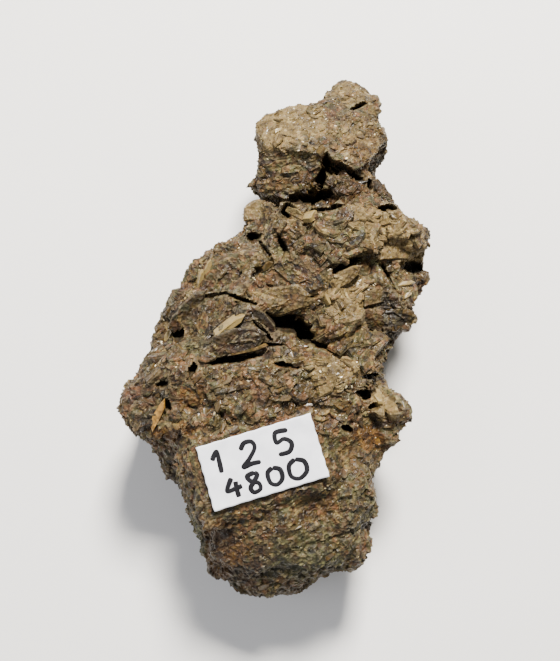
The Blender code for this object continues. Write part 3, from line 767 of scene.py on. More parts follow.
@dataclass(frozen=True)
class PhotoView:
    """The photograph's viewpoint: its aim and distance in millimetres, its angle, and its scale in pixels."""

    aim: tuple[float, float, float] = (0.0, 0.0, 24.0)
    elevation: float = 75.0
    distance: float = 135.0
    focal_pixels: float = 986.0
    width: float = 560.0
    height: float = 661.0

    def forward(self) -> Array:
        """The way that it looks: down, and along the specimen towards its upper end."""
        angle = math.radians(self.elevation)
        return np.array((0.0, math.cos(angle), -math.sin(angle)))

    def eye(self) -> Array:
        """Where it looks from, in the drawing's millimetres."""
        return np.array(self.aim) - self.forward() * self.distance

    def place(self, across: float, down: float, level: float) -> Array:
        """The place that the photograph shows at a pixel.

        The line of sight is forward + right * (across - width / 2) / focal
        + up * (height / 2 - down) / focal, followed from the eye as far as the level.

        Args:
            across: pixels from the picture's left side.
            down: pixels from its top.
            level: the height above the ground as the shading shows it, in millimetres.

        Returns:
            The place in the drawing's millimetres, to a tenth, which is finer than a pixel.
        """
        forward = self.forward()
        upward = np.array((0.0, -forward[2], forward[1]))
        sight = forward + upward * (self.height / 2 - down) / self.focal_pixels
        sight[0] += (across - self.width / 2) / self.focal_pixels
        eye = self.eye()
        return np.round(eye + sight * (level - eye[2]) / sight[2], 1)


PHOTO_VIEW = PhotoView()
# The holes run down along the line of sight, which leans this far from the vertical, in degrees.
SIGHT_LEAN = 90.0 - PHOTO_VIEW.elevation
SIGHT_AXES = turn_matrix((SIGHT_LEAN, 0.0, 0.0))


@dataclass(frozen=True)
class Hole:
    """A dark crevice: its middle, its half length and half width, its angle in degrees, and maybe its depth.

    All but the angle are in millimetres. A crevice without a depth of its own is the deeper the wider it is.
    """

    centre: tuple[float, float, float] | Array
    half: tuple[float, float]
    angle: float
    own_depth: float | None = None

    def depth(self) -> float:
        """The depth in millimetres, to a tenth: 1 + 3.2 * half width, or the hole's own."""
        return self.own_depth or round(1.0 + 3.2 * self.half[1], 1)

    def depths(self, points: Array, ragged: Array) -> Array:
        """How far each point sinks: most under the hole's upper edge, from where its floor slopes up.

        The distance from the middle is (|x| to the power 1.5 + |y| to the power 1.5) to the power 2/3, plus a
        ragged noise, in the hole's own frame, whose third axis is the line of sight. The hole ends softly
        around a distance of 1.
        """
        turn = SIGHT_AXES @ turn_matrix((0.0, 0.0, self.angle))
        local = (points - np.array(self.centre)) @ turn
        share = local[:, :2] / (1.15 * np.array(self.half))
        away = (np.abs(share) ** 1.5).sum(axis=1) ** (2 / 3) + ragged
        slope = 0.3 + 0.7 * smooth_step(-1.0, 0.3, share[:, 1])
        near_front = smooth_step(-5.5, -4.5, local[:, 2])
        return self.depth() * slope * (1 - smooth_step(0.78, 1.22, away)) * near_front


# The dark crevices, top end first. The first six are read off the photograph's pixels, and the last four
# are faint cracks.
HOLES = (
    Hole(PHOTO_VIEW.place(across=303, down=201, level=16.0), (3.4, 0.85), 16.0),
    Hole(PHOTO_VIEW.place(across=325, down=194, level=16.0), (1.4, 0.5), 4.0),
    Hole(PHOTO_VIEW.place(across=321, down=178, level=16.6), (0.55, 1.5), -12.0, 4.4),
    Hole(PHOTO_VIEW.place(across=326, down=163, level=17.0), (0.6, 0.8), 0.0),
    Hole(PHOTO_VIEW.place(across=342, down=170, level=17.0), (2.5, 0.42), -27.0),
    Hole(PHOTO_VIEW.place(across=357, down=108, level=15.2), (1.1, 0.25), 32.0),
    Hole((13.6, 25.0, 16.0), (0.3, 0.6), 8.0, 3.6),
    Hole((15.6, 19.6, 18.8), (1.2, 0.5), 0.0),
    Hole((1.2, 18.9, 19.8), (0.7, 0.9), 20.0),
    Hole((6.2, 19.0, 20.6), (2.1, 0.6), 14.0),
    Hole((-4.0, 16.1, 17.4), (0.9, 0.75), 20.0),
    Hole((9.4, 10.5, 20.4), (1.8, 0.6), 30.0),
    Hole((19.9, 11.6, 16.4), (1.7, 0.8), 0.0),
    Hole((4.0, 5.8, 21.8), (1.3, 0.55), -4.0),
    Hole((-9.8, 6.5, 18.8), (1.9, 0.22), 8.0),
    Hole((-5.6, 5.2, 21.8), (2.5, 0.24), -20.0),
    Hole((0.8, 1.9, 20.2), (2.5, 1.35), -6.0, 4.4),
    Hole((3.2, 0.7, 20.2), (1.5, 0.9), -44.0),
    Hole((-14.6, 1.8, 16.6), (0.75, 1.2), 4.0, 4.2),
    Hole((-5.8, -3.2, 21.2), (3.4, 0.5), 10.0),
    Hole((-2.5, 0.9, 21.0), (1.7, 0.3), -48.0),
    Hole((-7.4, -0.9, 22.2), (1.2, 0.5), 30.0),
    Hole((0.8, -4.7, 23.0), (1.4, 0.35), -6.0),
    Hole((-2.0, -1.5, 22.0), (2.3, 0.22), 0.0),
    Hole((5.6, -1.4, 21.2), (2.2, 0.35), -22.0),
    Hole((12.5, -5.7, 20.6), (1.0, 0.35), 0.0, 2.6),
    Hole((11.5, -8.2, 21.0), (0.9, 0.4), -16.0, 2.9),
    Hole((13.0, -9.9, 20.2), (0.6, 0.4), 20.0, 2.6),
    Hole((9.1, -13.1, 21.0), (0.7, 0.4), -30.0),
    Hole((-15.4, -9.6, 20.6), (0.4, 0.8), 30.0, 2.8),
    Hole((-16.2, -6.6, 20.2), (0.7, 0.3), 10.0),
    Hole((-11.9, -5.4, 23.2), (0.3, 1.1), -20.0, 2.6),
    Hole((0.6, 13.2, 20.4), (0.3, 1.6), 24.0, 1.3),
    Hole((-1.8, 12.4, 19.8), (0.3, 1.8), 30.0, 1.3),
    Hole((3.6, 9.2, 21.6), (2.4, 0.25), -28.0, 1.3),
    Hole((15.4, 9.2, 20.0), (0.25, 1.7), 24.0, 1.3),
)


@dataclass(frozen=True)
class Block:
    """A block of rock that fills out the solid: its name, the corners of its upper face, and its depth.

    A corner is read off the photograph: its pixels across and down, and its height in millimetres from the
    shading.
    """

    name: str
    corners: tuple[tuple[float, float, float], ...]
    depth: float = 6.0

    def surface(self) -> Surface:
        """The hull of the upper face and of a lower one, which is a tenth smaller."""
        face = np.array([PHOTO_VIEW.place(*corner) for corner in self.corners])
        low = (face - face.mean(axis=0)) * 0.9 + face.mean(axis=0) - np.array((0.0, 0.0, self.depth))
        return hull_surface(np.concatenate([face, low]))


# The blocks, first those of the lobe and below it.
BLOCKS = (
    Block("pale_lobe_face", (
        (251, 127, 17.4), (262, 113, 17.2), (285, 105, 17.6), (318, 100, 17.0),
        (322, 116, 18.6), (322, 149, 19.8), (300, 150, 20.4), (257, 142, 18.8),
    )),
    Block("lobe_tip", (
        (324, 92, 14.6), (334, 85, 14.2), (352, 82, 13.8), (366, 85, 13.6),
        (372, 98, 14.2), (355, 105, 15.4), (330, 102, 16.2),
    ), 5.0),
    Block("lump_below_lobe", (
        (256, 148, 19.4), (300, 152, 19.8), (322, 158, 19.6), (323, 172, 18.4),
        (312, 189, 17.2), (290, 199, 16.4), (263, 196, 16.0), (252, 176, 17.0),
    ), 7.0),
    Block("brown_neck_rock", (
        (327, 173, 17.8), (338, 172, 18.2), (357, 182, 17.8),
        (358, 200, 16.4), (340, 203, 16.2), (327, 188, 16.6),
    ), 7.0),
    Block("left_neck_knob", (
        (239, 205, 16.6), (246, 198, 16.8), (262, 198, 17.4),
        (262, 212, 17.6), (247, 218, 17.0), (241, 212, 16.6),
    ), 4.0),
    Block("upper_middle", (
        (312, 236, 23.0), (345, 234, 23.6), (374, 238, 22.8), (379, 260, 21.4),
        (358, 265, 22.0), (338, 269, 22.6), (320, 271, 22.8), (309, 256, 22.8),
    )),
    Block("upper_right", (
        (392, 236, 21.4), (412, 228, 20.8), (430, 236, 17.4),
        (428, 258, 16.6), (408, 261, 19.0), (390, 258, 20.4),
    ), 4.0),
    Block("middle_right", (
        (338, 274, 22.4), (372, 273, 21.2), (379, 290, 20.6),
        (362, 300, 21.2), (342, 297, 22.2), (333, 285, 22.8),
    )),
    Block("left_shoulder", (
        (206, 250, 19.6), (190, 262, 18.2), (186, 272, 17.8),
        (184, 289, 17.0), (205, 290, 19.4), (214, 262, 20.2),
    ), 4.0),
    Block("left_side", (
        (157, 322, 16.6), (170, 313, 17.4), (180, 330, 17.6), (165, 345, 16.6), (152, 344, 15.8),
    ), 3.0),
    Block("left_bulge", (
        (124, 391, 19.4), (121, 403, 19.2), (122, 418, 19.2),
        (131, 431, 18.8), (143, 425, 20.4), (139, 400, 20.8),
    ), 5.0),
    Block("left_bulge_foot", (
        (153, 447, 14.0), (158, 466, 12.6), (170, 479, 11.6), (181, 470, 13.0), (168, 447, 16.6),
    ), 5.0),
    Block("right_base_edge", (
        (372, 440, 18.0), (383, 446, 16.6), (379, 466, 16.0), (368, 470, 17.6),
    ), 4.0),
    Block("left_base_edge", (
        (200, 545, 12.0), (205, 560, 11.6), (209, 577, 10.6),
        (226, 584, 12.0), (224, 560, 14.0), (213, 545, 13.8),
    )),
)


@dataclass(frozen=True)
class Crystal:
    """A listed crystal: its middle, length, width and thickness, its turn, and its tint."""

    centre: tuple[float, float, float]
    size: tuple[float, float, float]
    turn: tuple[float, float, float]
    tint: float


# Large plates whose faces are as mottled as the rock.
LARGE_PLATES = (
    Crystal((0.4, 4.6, 23.2), (6.8, 4.0, 0.7), (22.0, -8.0, 12.0), 0.75),
    Crystal((2.8, 8.6, 22.6), (7.2, 4.8, 0.9), (18.0, -8.0, -36.0), 0.1),
    Crystal((4.6, 6.4, 22.8), (4.8, 2.0, 0.5), (40.0, 0.0, -30.0), 0.15),
    Crystal((-7.6, 9.2, 20.6), (8.6, 5.6, 0.9), (14.0, -16.0, 30.0), 0.15),
    Crystal((-2.8, 2.0, 22.9), (4.6, 1.8, 0.6), (30.0, 12.0, -44.0), 0.35),
    Crystal((-5.8, -1.4, 23.9), (7.0, 3.8, 0.6), (24.0, 0.0, 14.0), 0.0),
    Crystal((-12.9, 4.4, 18.8), (5.2, 2.6, 0.7), (26.0, -22.0, 44.0), 0.1),
    Crystal((-14.4, 3.4, 17.6), (3.6, 2.0, 0.6), (26.0, -30.0, 52.0), 0.1),
    Crystal((2.2, 17.9, 21.6), (2.6, 1.4, 0.5), (30.0, 10.0, -30.0), 0.3),
    Crystal((-3.0, 19.9, 17.8), (4.6, 3.4, 0.7), (14.0, -10.0, 8.0), 0.3),
    Crystal((9.2, 8.4, 22.0), (4.6, 2.0, 0.6), (28.0, 0.0, 34.0), 0.35),
    Crystal((14.2, 6.2, 20.8), (5.4, 2.4, 0.7), (24.0, 20.0, 30.0), 0.3),
    Crystal((12.2, 10.4, 20.6), (5.0, 2.6, 0.7), (22.0, 14.0, 24.0), 0.2),
    Crystal((13.4, 2.6, 19.8), (4.6, 2.6, 0.7), (24.0, 26.0, -40.0), 0.1),
    Crystal((16.6, 12.8, 19.6), (4.6, 2.4, 0.7), (18.0, 20.0, 14.0), 0.3),
    Crystal((15.0, -9.4, 18.8), (4.4, 2.2, 0.7), (0.0, 44.0, 110.0), 0.5),
    Crystal((-0.2, 27.0, 18.8), (3.4, 1.4, 0.6), (30.0, -8.0, 16.0), 0.6),
    Crystal((1.6, 26.4, 18.4), (2.8, 1.2, 0.5), (30.0, 0.0, 10.0), 0.5),
)
# Crystals with clean bright faces; the one at (6.6, 4.6) is a painted glint.
BRIGHT_CRYSTALS = (
    Crystal((-11.4, 8.6, 19.4), (3.0, 0.7, 0.5), (30.0, -30.0, 76.0), 1.0),
    Crystal((-10.4, 10.2, 20.2), (2.4, 0.8, 0.5), (30.0, -20.0, 68.0), 0.9),
    Crystal((-6.8, 0.6, 24.0), (4.0, 0.9, 0.5), (46.0, 0.0, 38.0), 0.85),
    Crystal((-4.6, -2.7, 23.5), (4.6, 0.5, 0.4), (40.0, 0.0, 14.0), 0.7),
    Crystal((-16.2, 1.0, 17.2), (1.9, 0.8, 0.5), (10.0, -30.0, 60.0), 1.0),
    Crystal((4.7, 17.2, 22.4), (2.0, 1.2, 0.4), (50.0, 20.0, 66.0), 0.85),
    Crystal((17.9, 8.2, 19.2), (2.2, 0.7, 0.6), (0.0, 10.0, 10.0), 1.0),
    Crystal((18.1, 6.7, 18.4), (1.5, 0.7, 0.5), (10.0, 20.0, 40.0), 0.85),
    # A painted glint: a small crystal of the palest tint.
    Crystal((6.6, 4.6, 23.6), (1.5, 0.6, 0.4), (20.0, -10.0, 112.0), 1.1),
    Crystal((13.6, -8.4, 20.2), (2.6, 1.1, 0.5), (10.0, 30.0, 106.0), 0.3),
)
# A thin golden sliver that lies in a groove of the left bulge.
GOLDEN_SLIVER = Crystal((-16.7, -11.2, 20.8), (3.9, 1.1, 0.35), (6.0, -20.0, 64.0), 1.0)


@dataclass
class RockBody:
    """The specimen's whole body: a fine even skin over the solid and its plates, broken into small faces."""

    coarse_voxel: float = 0.6
    ease_rounds: int = 8
    ease_share: float = 0.3
    voxel: float = 0.27
    broad_wave: float = 5.0
    broad_rise: float = 0.4
    side_rough: float = 1.2
    shingle_size: float = 2.2
    shingle_long: float = 2.1
    facet_size: float = 1.15
    grain_size: float = 0.62
    hollow_rounds: int = 30
    hollow_depth: float = 0.4
    crest_rounds: int = 4
    crest_height: float = 0.06

    # Height of each size of face in each zone, in millimetres: shingles, facets, grains.
    HEIGHTS = {
        Zone.BASE: (0.17, 0.15, 0.07),
        Zone.CRUST: (0.22, 0.18, 0.08),
        Zone.BLADED: (0.14, 0.16, 0.08),
        Zone.NECK: (0.14, 0.16, 0.08),
        Zone.LOBE: (0.13, 0.13, 0.08),
    }
    # The noise along the holes' edges: how far it reaches, its wavelength in millimetres, and its seed.
    RAGGED_EDGE = ((0.25, 1.9, 130), (0.25, 0.9, 131), (0.15, 0.4, 132))
    # The pieces that the body is handed over in, each with its range along Y.
    PARTS = {
        "rock_base": (-60.0, -15.0),
        "rock_crust": (-15.0, -2.0),
        "rock_blades": (-2.0, 12.0),
        "rock_top": (12.0, 70.0),
    }

    def evaluated(self, mesh: bpy.types.Mesh, kind: str, **settings) -> bpy.types.Mesh:
        """The mesh after one modifier with the given settings."""
        worker = bpy.data.objects.new("skin_worker", mesh)
        bpy.context.scene.collection.objects.link(worker)
        modifier = worker.modifiers.new("skin", kind)
        for name, value in settings.items():
            setattr(modifier, name, value)
        graph = bpy.context.evaluated_depsgraph_get()
        made = bpy.data.meshes.new_from_object(worker.evaluated_get(graph))
        bpy.data.objects.remove(worker)
        return made

    def remeshed(self, mesh: bpy.types.Mesh, voxel: float) -> Surface:
        """The outer skin of closed meshes as an even mesh of small squares, in the drawing frame."""
        made = self.evaluated(mesh, "REMESH", mode="VOXEL", voxel_size=voxel * MM)
        points = np.zeros(len(made.vertices) * 3, np.float32)
        made.vertices.foreach_get("co", points)
        faces = np.zeros(len(made.loops), np.int32)
        made.loops.foreach_get("vertex_index", faces)
        bpy.data.meshes.remove(made)
        return Surface(points.reshape(-1, 3).astype(float) / MM - SHIFT, faces.reshape(-1, 4))

    def skin(self) -> Surface:
        """The solid's form with its holes, and the plates that are grown onto it, as one even skin."""
        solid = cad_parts[ROCK_NODE].data.copy()
        bm = bmesh.new()
        bm.from_mesh(solid)
        bmesh.ops.remove_doubles(bm, verts=bm.verts, dist=1e-7)
        for block in BLOCKS:
            bm.from_mesh(mesh_of(block.surface()))
        bm.to_mesh(solid)
        bm.free()
        ground = self.remeshed(solid, self.coarse_voxel)
        broad = ground.neighbour_mean(ground.points, self.ease_rounds)
        eased = ground.points + (broad - ground.points) * self.ease_share
        ground.points[:] = np.where(ground.points[:, 2:] < 0.3, ground.points, eased)
        bm = bmesh.new()
        bm.from_mesh(mesh_of(ground))
        plates, _ = BladeField(BROAD_PLATES).plates(ground)
        bm.from_mesh(mesh_of(plates))
        grown = bpy.data.meshes.new("grown")
        bm.to_mesh(grown)
        bm.free()
        surface = self.remeshed(grown, self.voxel)
        surface.points = surface.neighbour_mean(surface.points, 1)
        return surface

    def broken(self, surface: Surface) -> tuple[Array, Array]:
        """Moves the skin's points along their normals by three sizes of broken faces and a broad unevenness.

        Args:
            surface: the even skin.

        Returns:
            The moved points, and a random number for the facet that each lies on.
        """
        points = surface.points
        normals = surface.normals()
        warped = points + 0.5 * noise_vectors(points, 1.7, 61)
        lean = turn_matrix((0.0, 0.0, -36.0))
        stretch = np.diag((1 / self.shingle_long, 1.0, 1.0)) @ lean
        shingles, _ = facet_heights(warped, self.shingle_size, 71, stretch)
        facets, which = facet_heights(warped, self.facet_size, 81)
        grains, _ = facet_heights(points + 0.2 * noise_vectors(points, 0.6, 91), self.grain_size, 95)
        rise = self.broad_rise * soft_noise(points, self.broad_wave, 101)
        for zone, (high, middle, low) in self.HEIGHTS.items():
            rise += zone_weight(points, zone) * (high * shingles + middle * facets + low * grains)
        rise *= 1 + self.side_rough * (1 - smooth_step(0.3, 0.8, np.abs(surface.broad_normals[:, 2])))
        calm = 1 - 0.85 * label_cover(points, 0.8)
        flat = smooth_step(0.0, 1.2, points[:, 2])
        return points + normals * (rise * calm * flat)[:, None], which

    def carved(self, points: Array) -> tuple[Array, Array]:
        """Sinks the holes into the skin along the line of sight.

        Args:
            points: the skin's points.

        Returns:
            The moved points, and how deep in a hole each lies, from 0 to 1.
        """
        ragged = sum(reach * soft_noise(points, wave, seed) for reach, wave, seed in self.RAGGED_EDGE)
        depth = np.max([hole.depths(points, ragged) for hole in HOLES], axis=0)
        return points - depth[:, None] * SIGHT_AXES[:, 2], np.minimum(depth / 1.5, 1.0)

    def under_label(self, points: Array) -> Array:
        """Presses what is under the label to below its sheet."""
        local = label_local(points)
        inside = (np.abs(local[:, :2]) < np.array(LABEL_SIZE) / 2 + 0.4).all(axis=1)
        near = inside & (local[:, 2] > -6.0)
        local[near, 2] = np.minimum(local[near, 2], -0.42 + 0.08 * soft_noise(points[near], 1.0, 111))
        return local @ LABEL_AXES.T + LABEL_CENTRE

    def build(self, material: bpy.types.Material) -> Surface:
        """Makes the body's pieces and returns its whole surface, on which the crystals are sown."""
        skin = self.skin()
        moved, facet = self.broken(skin)
        moved, inside = self.carved(moved)
        moved = self.under_label(moved)
        body = Surface(np.clip(moved, CAD_LOW - SHIFT, CAD_HIGH - SHIFT), skin.faces)
        normals = body.normals()
        calm = body.neighbour_mean(body.points, self.hollow_rounds)
        # The hollow value, never less than the depth in a hole, is painted as shade by the rock's finish.
        hollow = np.clip(((calm - body.points) * normals).sum(axis=1) / self.hollow_depth, inside, 1.2)
        near = body.neighbour_mean(body.points, self.crest_rounds)
        edge = np.clip(((body.points - near) * normals).sum(axis=1) / self.crest_height, 0.0, 1.0)
        along = body.points[body.faces].mean(axis=1)[:, 1]
        for name, (low, high) in self.PARTS.items():
            part, used = body.part((along >= low) & (along < high))
            piece = new_piece(name, part, material, smooth=False)
            dress(piece, part.points, facet[used], hollow[used], edge[used])
            hand_over(piece, "axinite", ROCK_NODE)
        return body


@dataclass(frozen=True)
class Sowing:
    """How one size of crystal is sown: how many, how large, and where."""

    name: str
    count: int
    lengths: tuple[float, float]
    widths: tuple[float, float]
    thickness: tuple[float, float]
    lean: tuple[float, float]
    density: dict
    rise: float
    seed: int


HEADINGS = (40.0, 40.0, -28.0, -28.0, 8.0, 72.0)
HEADING_SPREAD = 20.0

BROAD_PLATES = Sowing(
    "broad_plates", 110, (3.4, 6.0), (0.55, 0.85), (0.14, 0.2), (4.0, 26.0),
    {Zone.BASE: 0.0, Zone.CRUST: 0.15, Zone.BLADED: 1.0, Zone.NECK: 0.6, Zone.LOBE: 0.0}, 0.0, 5,
)
MIDDLE_PLATES = Sowing(
    "middle_plates", 320, (1.6, 3.6), (0.6, 0.95), (0.12, 0.2), (4.0, 34.0),
    {Zone.BASE: 0.0, Zone.CRUST: 0.05, Zone.BLADED: 1.0, Zone.NECK: 0.7, Zone.LOBE: 0.0}, -0.02, 6,
)
SMALL_PLATES = Sowing(
    "small_plates", 1300, (0.8, 2.0), (0.55, 0.95), (0.16, 0.26), (-5.0, 48.0),
    {Zone.BASE: 0.02, Zone.CRUST: 0.12, Zone.BLADED: 1.0, Zone.NECK: 1.0, Zone.LOBE: 0.06}, -0.04, 7,
)
SMALL_BLADES = Sowing(
    "small_blades", 600, (0.7, 1.5), (0.45, 0.8), (0.16, 0.26), (-10.0, 45.0),
    {Zone.BASE: 0.03, Zone.CRUST: 0.25, Zone.BLADED: 1.0, Zone.NECK: 1.0, Zone.LOBE: 0.1}, -0.02, 8,
)
GLINTS = Sowing(
    "glints", 620, (0.2, 0.42), (0.5, 0.9), (0.2, 0.4), (-60.0, 70.0),
    {Zone.BASE: 0.05, Zone.CRUST: 0.4, Zone.BLADED: 1.0, Zone.NECK: 0.8, Zone.LOBE: 0.2}, 0.0, 9,
)


def away_from_features(places: Array, clearance: float) -> Array:
    """0 over a hole or on a large crystal, and 1 beyond the clearance, so that nothing sown hides them."""
    free = np.ones(len(places))
    features = [(hole.centre, np.array(hole.half), hole.angle) for hole in HOLES]
    features += [(c.centre, np.array(c.size[:2]) * 0.5, c.turn[2]) for c in LARGE_PLATES + BRIGHT_CRYSTALS]
    for centre, half, angle in features:
        offset = on_sight_plane(places) - on_sight_plane(np.array(centre))
        local = offset @ turn_matrix((0, 0, angle))[:2, :2]
        free *= smooth_step(1.0, 1.4, np.linalg.norm(local / (half + clearance), axis=1))
    return free


def well_inside(body: Surface, places: Array, margin: float) -> Array:
    """1 where a place lies at least the margin inside the body's outline as the viewer sees it, else 0.

    The outline is a grid of cells that the body's points fall in. It is shrunk by one cell at a time.
    """
    cell = 0.7
    seen = on_sight_plane(body.points)
    low = seen.min(axis=0) - 2 * cell
    index = ((seen - low) / cell).astype(int)
    filled = np.zeros(index.max(axis=0) + 3, bool)
    filled[index[:, 0], index[:, 1]] = True
    for _ in range(max(1, round(margin / cell))):
        inner = filled.copy()
        for axis in (0, 1):
            for step in (-1, 1):
                inner &= np.roll(filled, step, axis)
        filled = inner
    index = ((on_sight_plane(places) - low) / cell).astype(int)
    return filled[index[:, 0], index[:, 1]].astype(float)


def on_sight_plane(points: Array) -> Array:
    """Where points appear to the viewer on the level plane z = 0: X, and Y slid down the line of sight."""
    slid = points[..., 1] + points[..., 2] * math.tan(math.radians(SIGHT_LEAN))
    return np.stack([points[..., 0], slid], axis=-1)


def seated(crystal: Crystal, body: Surface) -> Array:
    """The crystal's middle, slid along the line of sight on to the highest part of the rock in view."""
    seen = on_sight_plane(body.points)
    target = on_sight_plane(np.array(crystal.centre))
    near = (np.abs(seen - target) < 0.45).all(axis=1)
    height = body.points[near, 2].max() - 0.15 * crystal.size[1]
    return np.array((target[0], target[1] - height * math.tan(math.radians(SIGHT_LEAN)), height))


@dataclass
class BladeField:
    """Axinite plates sown over the body like shingles, lower edge out, as one joined mesh."""

    sowing: Sowing
    tint: float = 0.0

    # The plate's rim, counter-clockwise, as shares of its length and width: a wedge with a point at one end.
    RIM = np.array((
        (-0.6, -0.3), (-0.1, -0.5), (0.42, -0.46), (0.66, -0.02), (0.44, 0.34), (-0.06, 0.5), (-0.5, 0.3),
    ))
    FACE_SHARE = 0.86
    WOBBLE = (0.12, 0.12, 0.3)
    # How far a plate's underside reaches into the rock: a share of its length, or millimetres if it is large.
    ROOT_SHARE = 0.22
    ROOT_DEPTH = 1.1

    @classmethod
    def template(cls) -> Surface:
        """One plate of unit size: its rim, a smaller face above and below it, and the bevels between."""
        count = len(cls.RIM)
        rim = np.column_stack([cls.RIM, np.zeros(count)])
        top = np.column_stack([cls.RIM * cls.FACE_SHARE, np.full(count, 0.5)])
        here = np.arange(count)
        after = np.roll(here, -1)
        above, below = count, 2 * count
        fan = np.arange(1, count - 1)
        first = np.zeros_like(fan)
        faces = [
            (here, after, after + above), (here, after + above, here + above),
            (after, here, here + below), (after, here + below, after + below),
            (first + above, fan + above, fan + above + 1), (first + below, fan + below + 1, fan + below),
        ]
        faces = np.concatenate([np.stack(corners, axis=1) for corners in faces])
        return Surface(np.concatenate([rim, top, top * (1, 1, -1)]), faces)

    @classmethod
    def wobble(cls, rng: np.random.Generator, count: int) -> Array:
        """How far each plate's corners lie off the template: the same for its rim and both faces."""
        return np.tile(rng.uniform(-1, 1, (count, len(cls.RIM), 3)) * cls.WOBBLE, (1, 3, 1))

    @classmethod
    def underside(cls) -> Array:
        """1 for the corners of the template's lower face, and 0 for the others."""
        return np.repeat((0.0, 0.0, 1.0), len(cls.RIM))

    @classmethod
    def shape_values(cls, plates: int, rim: float, top: float, low: float) -> Array:
        """One value a corner of every plate, for its rim, its upper face and its lower face."""
        return np.tile(np.repeat((rim, top, low), len(cls.RIM)), plates)

    @classmethod
    def featured(cls, crystals: tuple[Crystal, ...], body: Surface, seed: int) -> Surface:
        """Crystals of given sizes and places, seated on the body, as one mesh."""
        template = cls.template()
        shapes = template.points + cls.wobble(np.random.default_rng(seed), len(crystals)) * 0.7
        root = cls.underside()[:, None] * np.array((0.0, 0.0, cls.ROOT_DEPTH))
        points = [(shape * crystal.size - root) @ turn_matrix(crystal.turn).T + seated(crystal, body)
                  for shape, crystal in zip(shapes, crystals)]
        points = np.clip(np.concatenate(points), CAD_LOW - SHIFT, CAD_HIGH - SHIFT)
        step = len(template.points) * np.arange(len(crystals))[:, None, None]
        return Surface(points, (template.faces[None] + step).reshape(-1, 3))

    def places(self, body: Surface, rng: np.random.Generator) -> tuple[Array, Array]:
        """Random places on the body, as many as the sowing asks, and their normals.

        A triangle is picked with a chance that goes as its area times its zone's density, and its point by
        random shares of its corners.
        """
        corners = body.points[body.triangles]
        crosses = np.cross(corners[:, 1] - corners[:, 0], corners[:, 2] - corners[:, 0])
        middles = corners.mean(axis=1)
        chance = np.linalg.norm(crosses, axis=1)
        density = sum(zone_weight(middles, zone) * share for zone, share in self.sowing.density.items())
        longest = self.sowing.lengths[1]
        beside_label = 1 - label_cover(middles, 0.8 + 0.5 * longest)
        chance *= density * beside_label * smooth_step(1.5, 4.0, middles[:, 2])
        facing = body.broad_normals[body.triangles].mean(axis=1)
        chance *= away_from_features(middles, 0.3 * longest) * smooth_step(0.5, 0.8, facing[:, 2])
        chance *= well_inside(body, middles, 0.62 * self.sowing.lengths[1])
        chosen = rng.choice(len(chance), self.sowing.count, p=chance / chance.sum())
        a, b = rng.random((2, self.sowing.count, 1))
        over = (a + b) > 1
        a, b = np.where(over, 1 - a, a), np.where(over, 1 - b, b)
        picked = corners[chosen]
        places = picked[:, 0] + a * (picked[:, 1] - picked[:, 0]) + b * (picked[:, 2] - picked[:, 0])
        return places, facing[chosen] / np.linalg.norm(facing[chosen], axis=1, keepdims=True)

    def frames(self, normals: Array, rng: np.random.Generator) -> Array:
        """A rotation matrix a plate: its length follows a heading on the surface, and it leans about it."""
        count = len(normals)
        heading = np.radians(rng.choice(HEADINGS, count) + rng.normal(0, HEADING_SPREAD, count))
        along = np.stack([np.cos(heading), np.sin(heading), np.zeros(count)], axis=1)
        along -= normals * (along * normals).sum(axis=1, keepdims=True)
        along /= np.maximum(np.linalg.norm(along, axis=1, keepdims=True), 1e-6)
        across = np.cross(normals, along)
        lean = -np.radians(rng.uniform(*self.sowing.lean, count))[:, None]
        leaned = across * np.cos(lean) + normals * np.sin(lean)
        upright = normals * np.cos(lean) - across * np.sin(lean)
        return np.stack([along, leaned, upright], axis=2)

    def plates(self, body: Surface) -> tuple[Surface, Array]:
        """All the plates as one mesh: the template times each size, turned and moved to its place.

        Args:
            body: the surface that they grow on.

        Returns:
            The plates, and the places of their middles.
        """
        rng = np.random.default_rng(self.sowing.seed)
        template = self.template()
        places, normals = self.places(body, rng)
        count = len(places)
        length = rng.uniform(0, 1, count) ** 1.6
        length = self.sowing.lengths[0] + length * (self.sowing.lengths[1] - self.sowing.lengths[0])
        width = length * rng.uniform(*self.sowing.widths, count)
        thick = length * rng.uniform(*self.sowing.thickness, count)
        size = np.stack([length, width, thick], axis=1)
        local = (template.points[None] + self.wobble(rng, count)) * size[:, None]
        local[:, :, 2] -= self.ROOT_SHARE * length[:, None] * self.underside()
        turned = np.einsum("nij,npj->npi", self.frames(normals, rng), local)
        centres = places + normals * (length * self.sowing.rise)[:, None]
        points = (turned + centres[:, None]).reshape(-1, 3)
        step = len(template.points) * np.arange(count)[:, None, None]
        points = np.clip(points, CAD_LOW - SHIFT, CAD_HIGH - SHIFT)
        return Surface(points, (template.faces[None] + step).reshape(-1, 3)), places

    def build(self, body: Surface, material: bpy.types.Material) -> None:
        """Makes the plates as a piece of their own, each with one tint and its own place's stains."""
        plates, places = self.plates(body)
        piece = new_piece(self.sowing.name, plates, material, smooth=False)
        self.tone(piece, places, self.tint)
        hand_over(piece, "axinite")

    @classmethod
    def tone(cls, piece: bpy.types.Object, places: Array, tint: float | Array) -> None:
        """Stores each plate's tones: paler along its rim, and painted shade on its underside."""
        count, corners = len(places), 3 * len(cls.RIM)
        random = lattice_random(np.floor(places * 7), 121)
        # The tint follows the pale and dark tones, so it carries their painted light and shade in part.
        shift = 0.3 * stain_mask(places, Stain.PALE_AND_LIT) - 0.35 * stain_mask(places, Stain.DARK)
        set_values(piece, "tint", np.repeat(tint + 0.5 * random + shift, corners))
        # The lower face is marked as deep in a hollow, so the finish paints shade beneath each plate.
        dress(piece, np.repeat(places, corners, axis=0), np.repeat(random, corners),
              cls.shape_values(count, 0.0, 0.0, 0.9), cls.shape_values(count, 1.0, 0.15, 0.3))


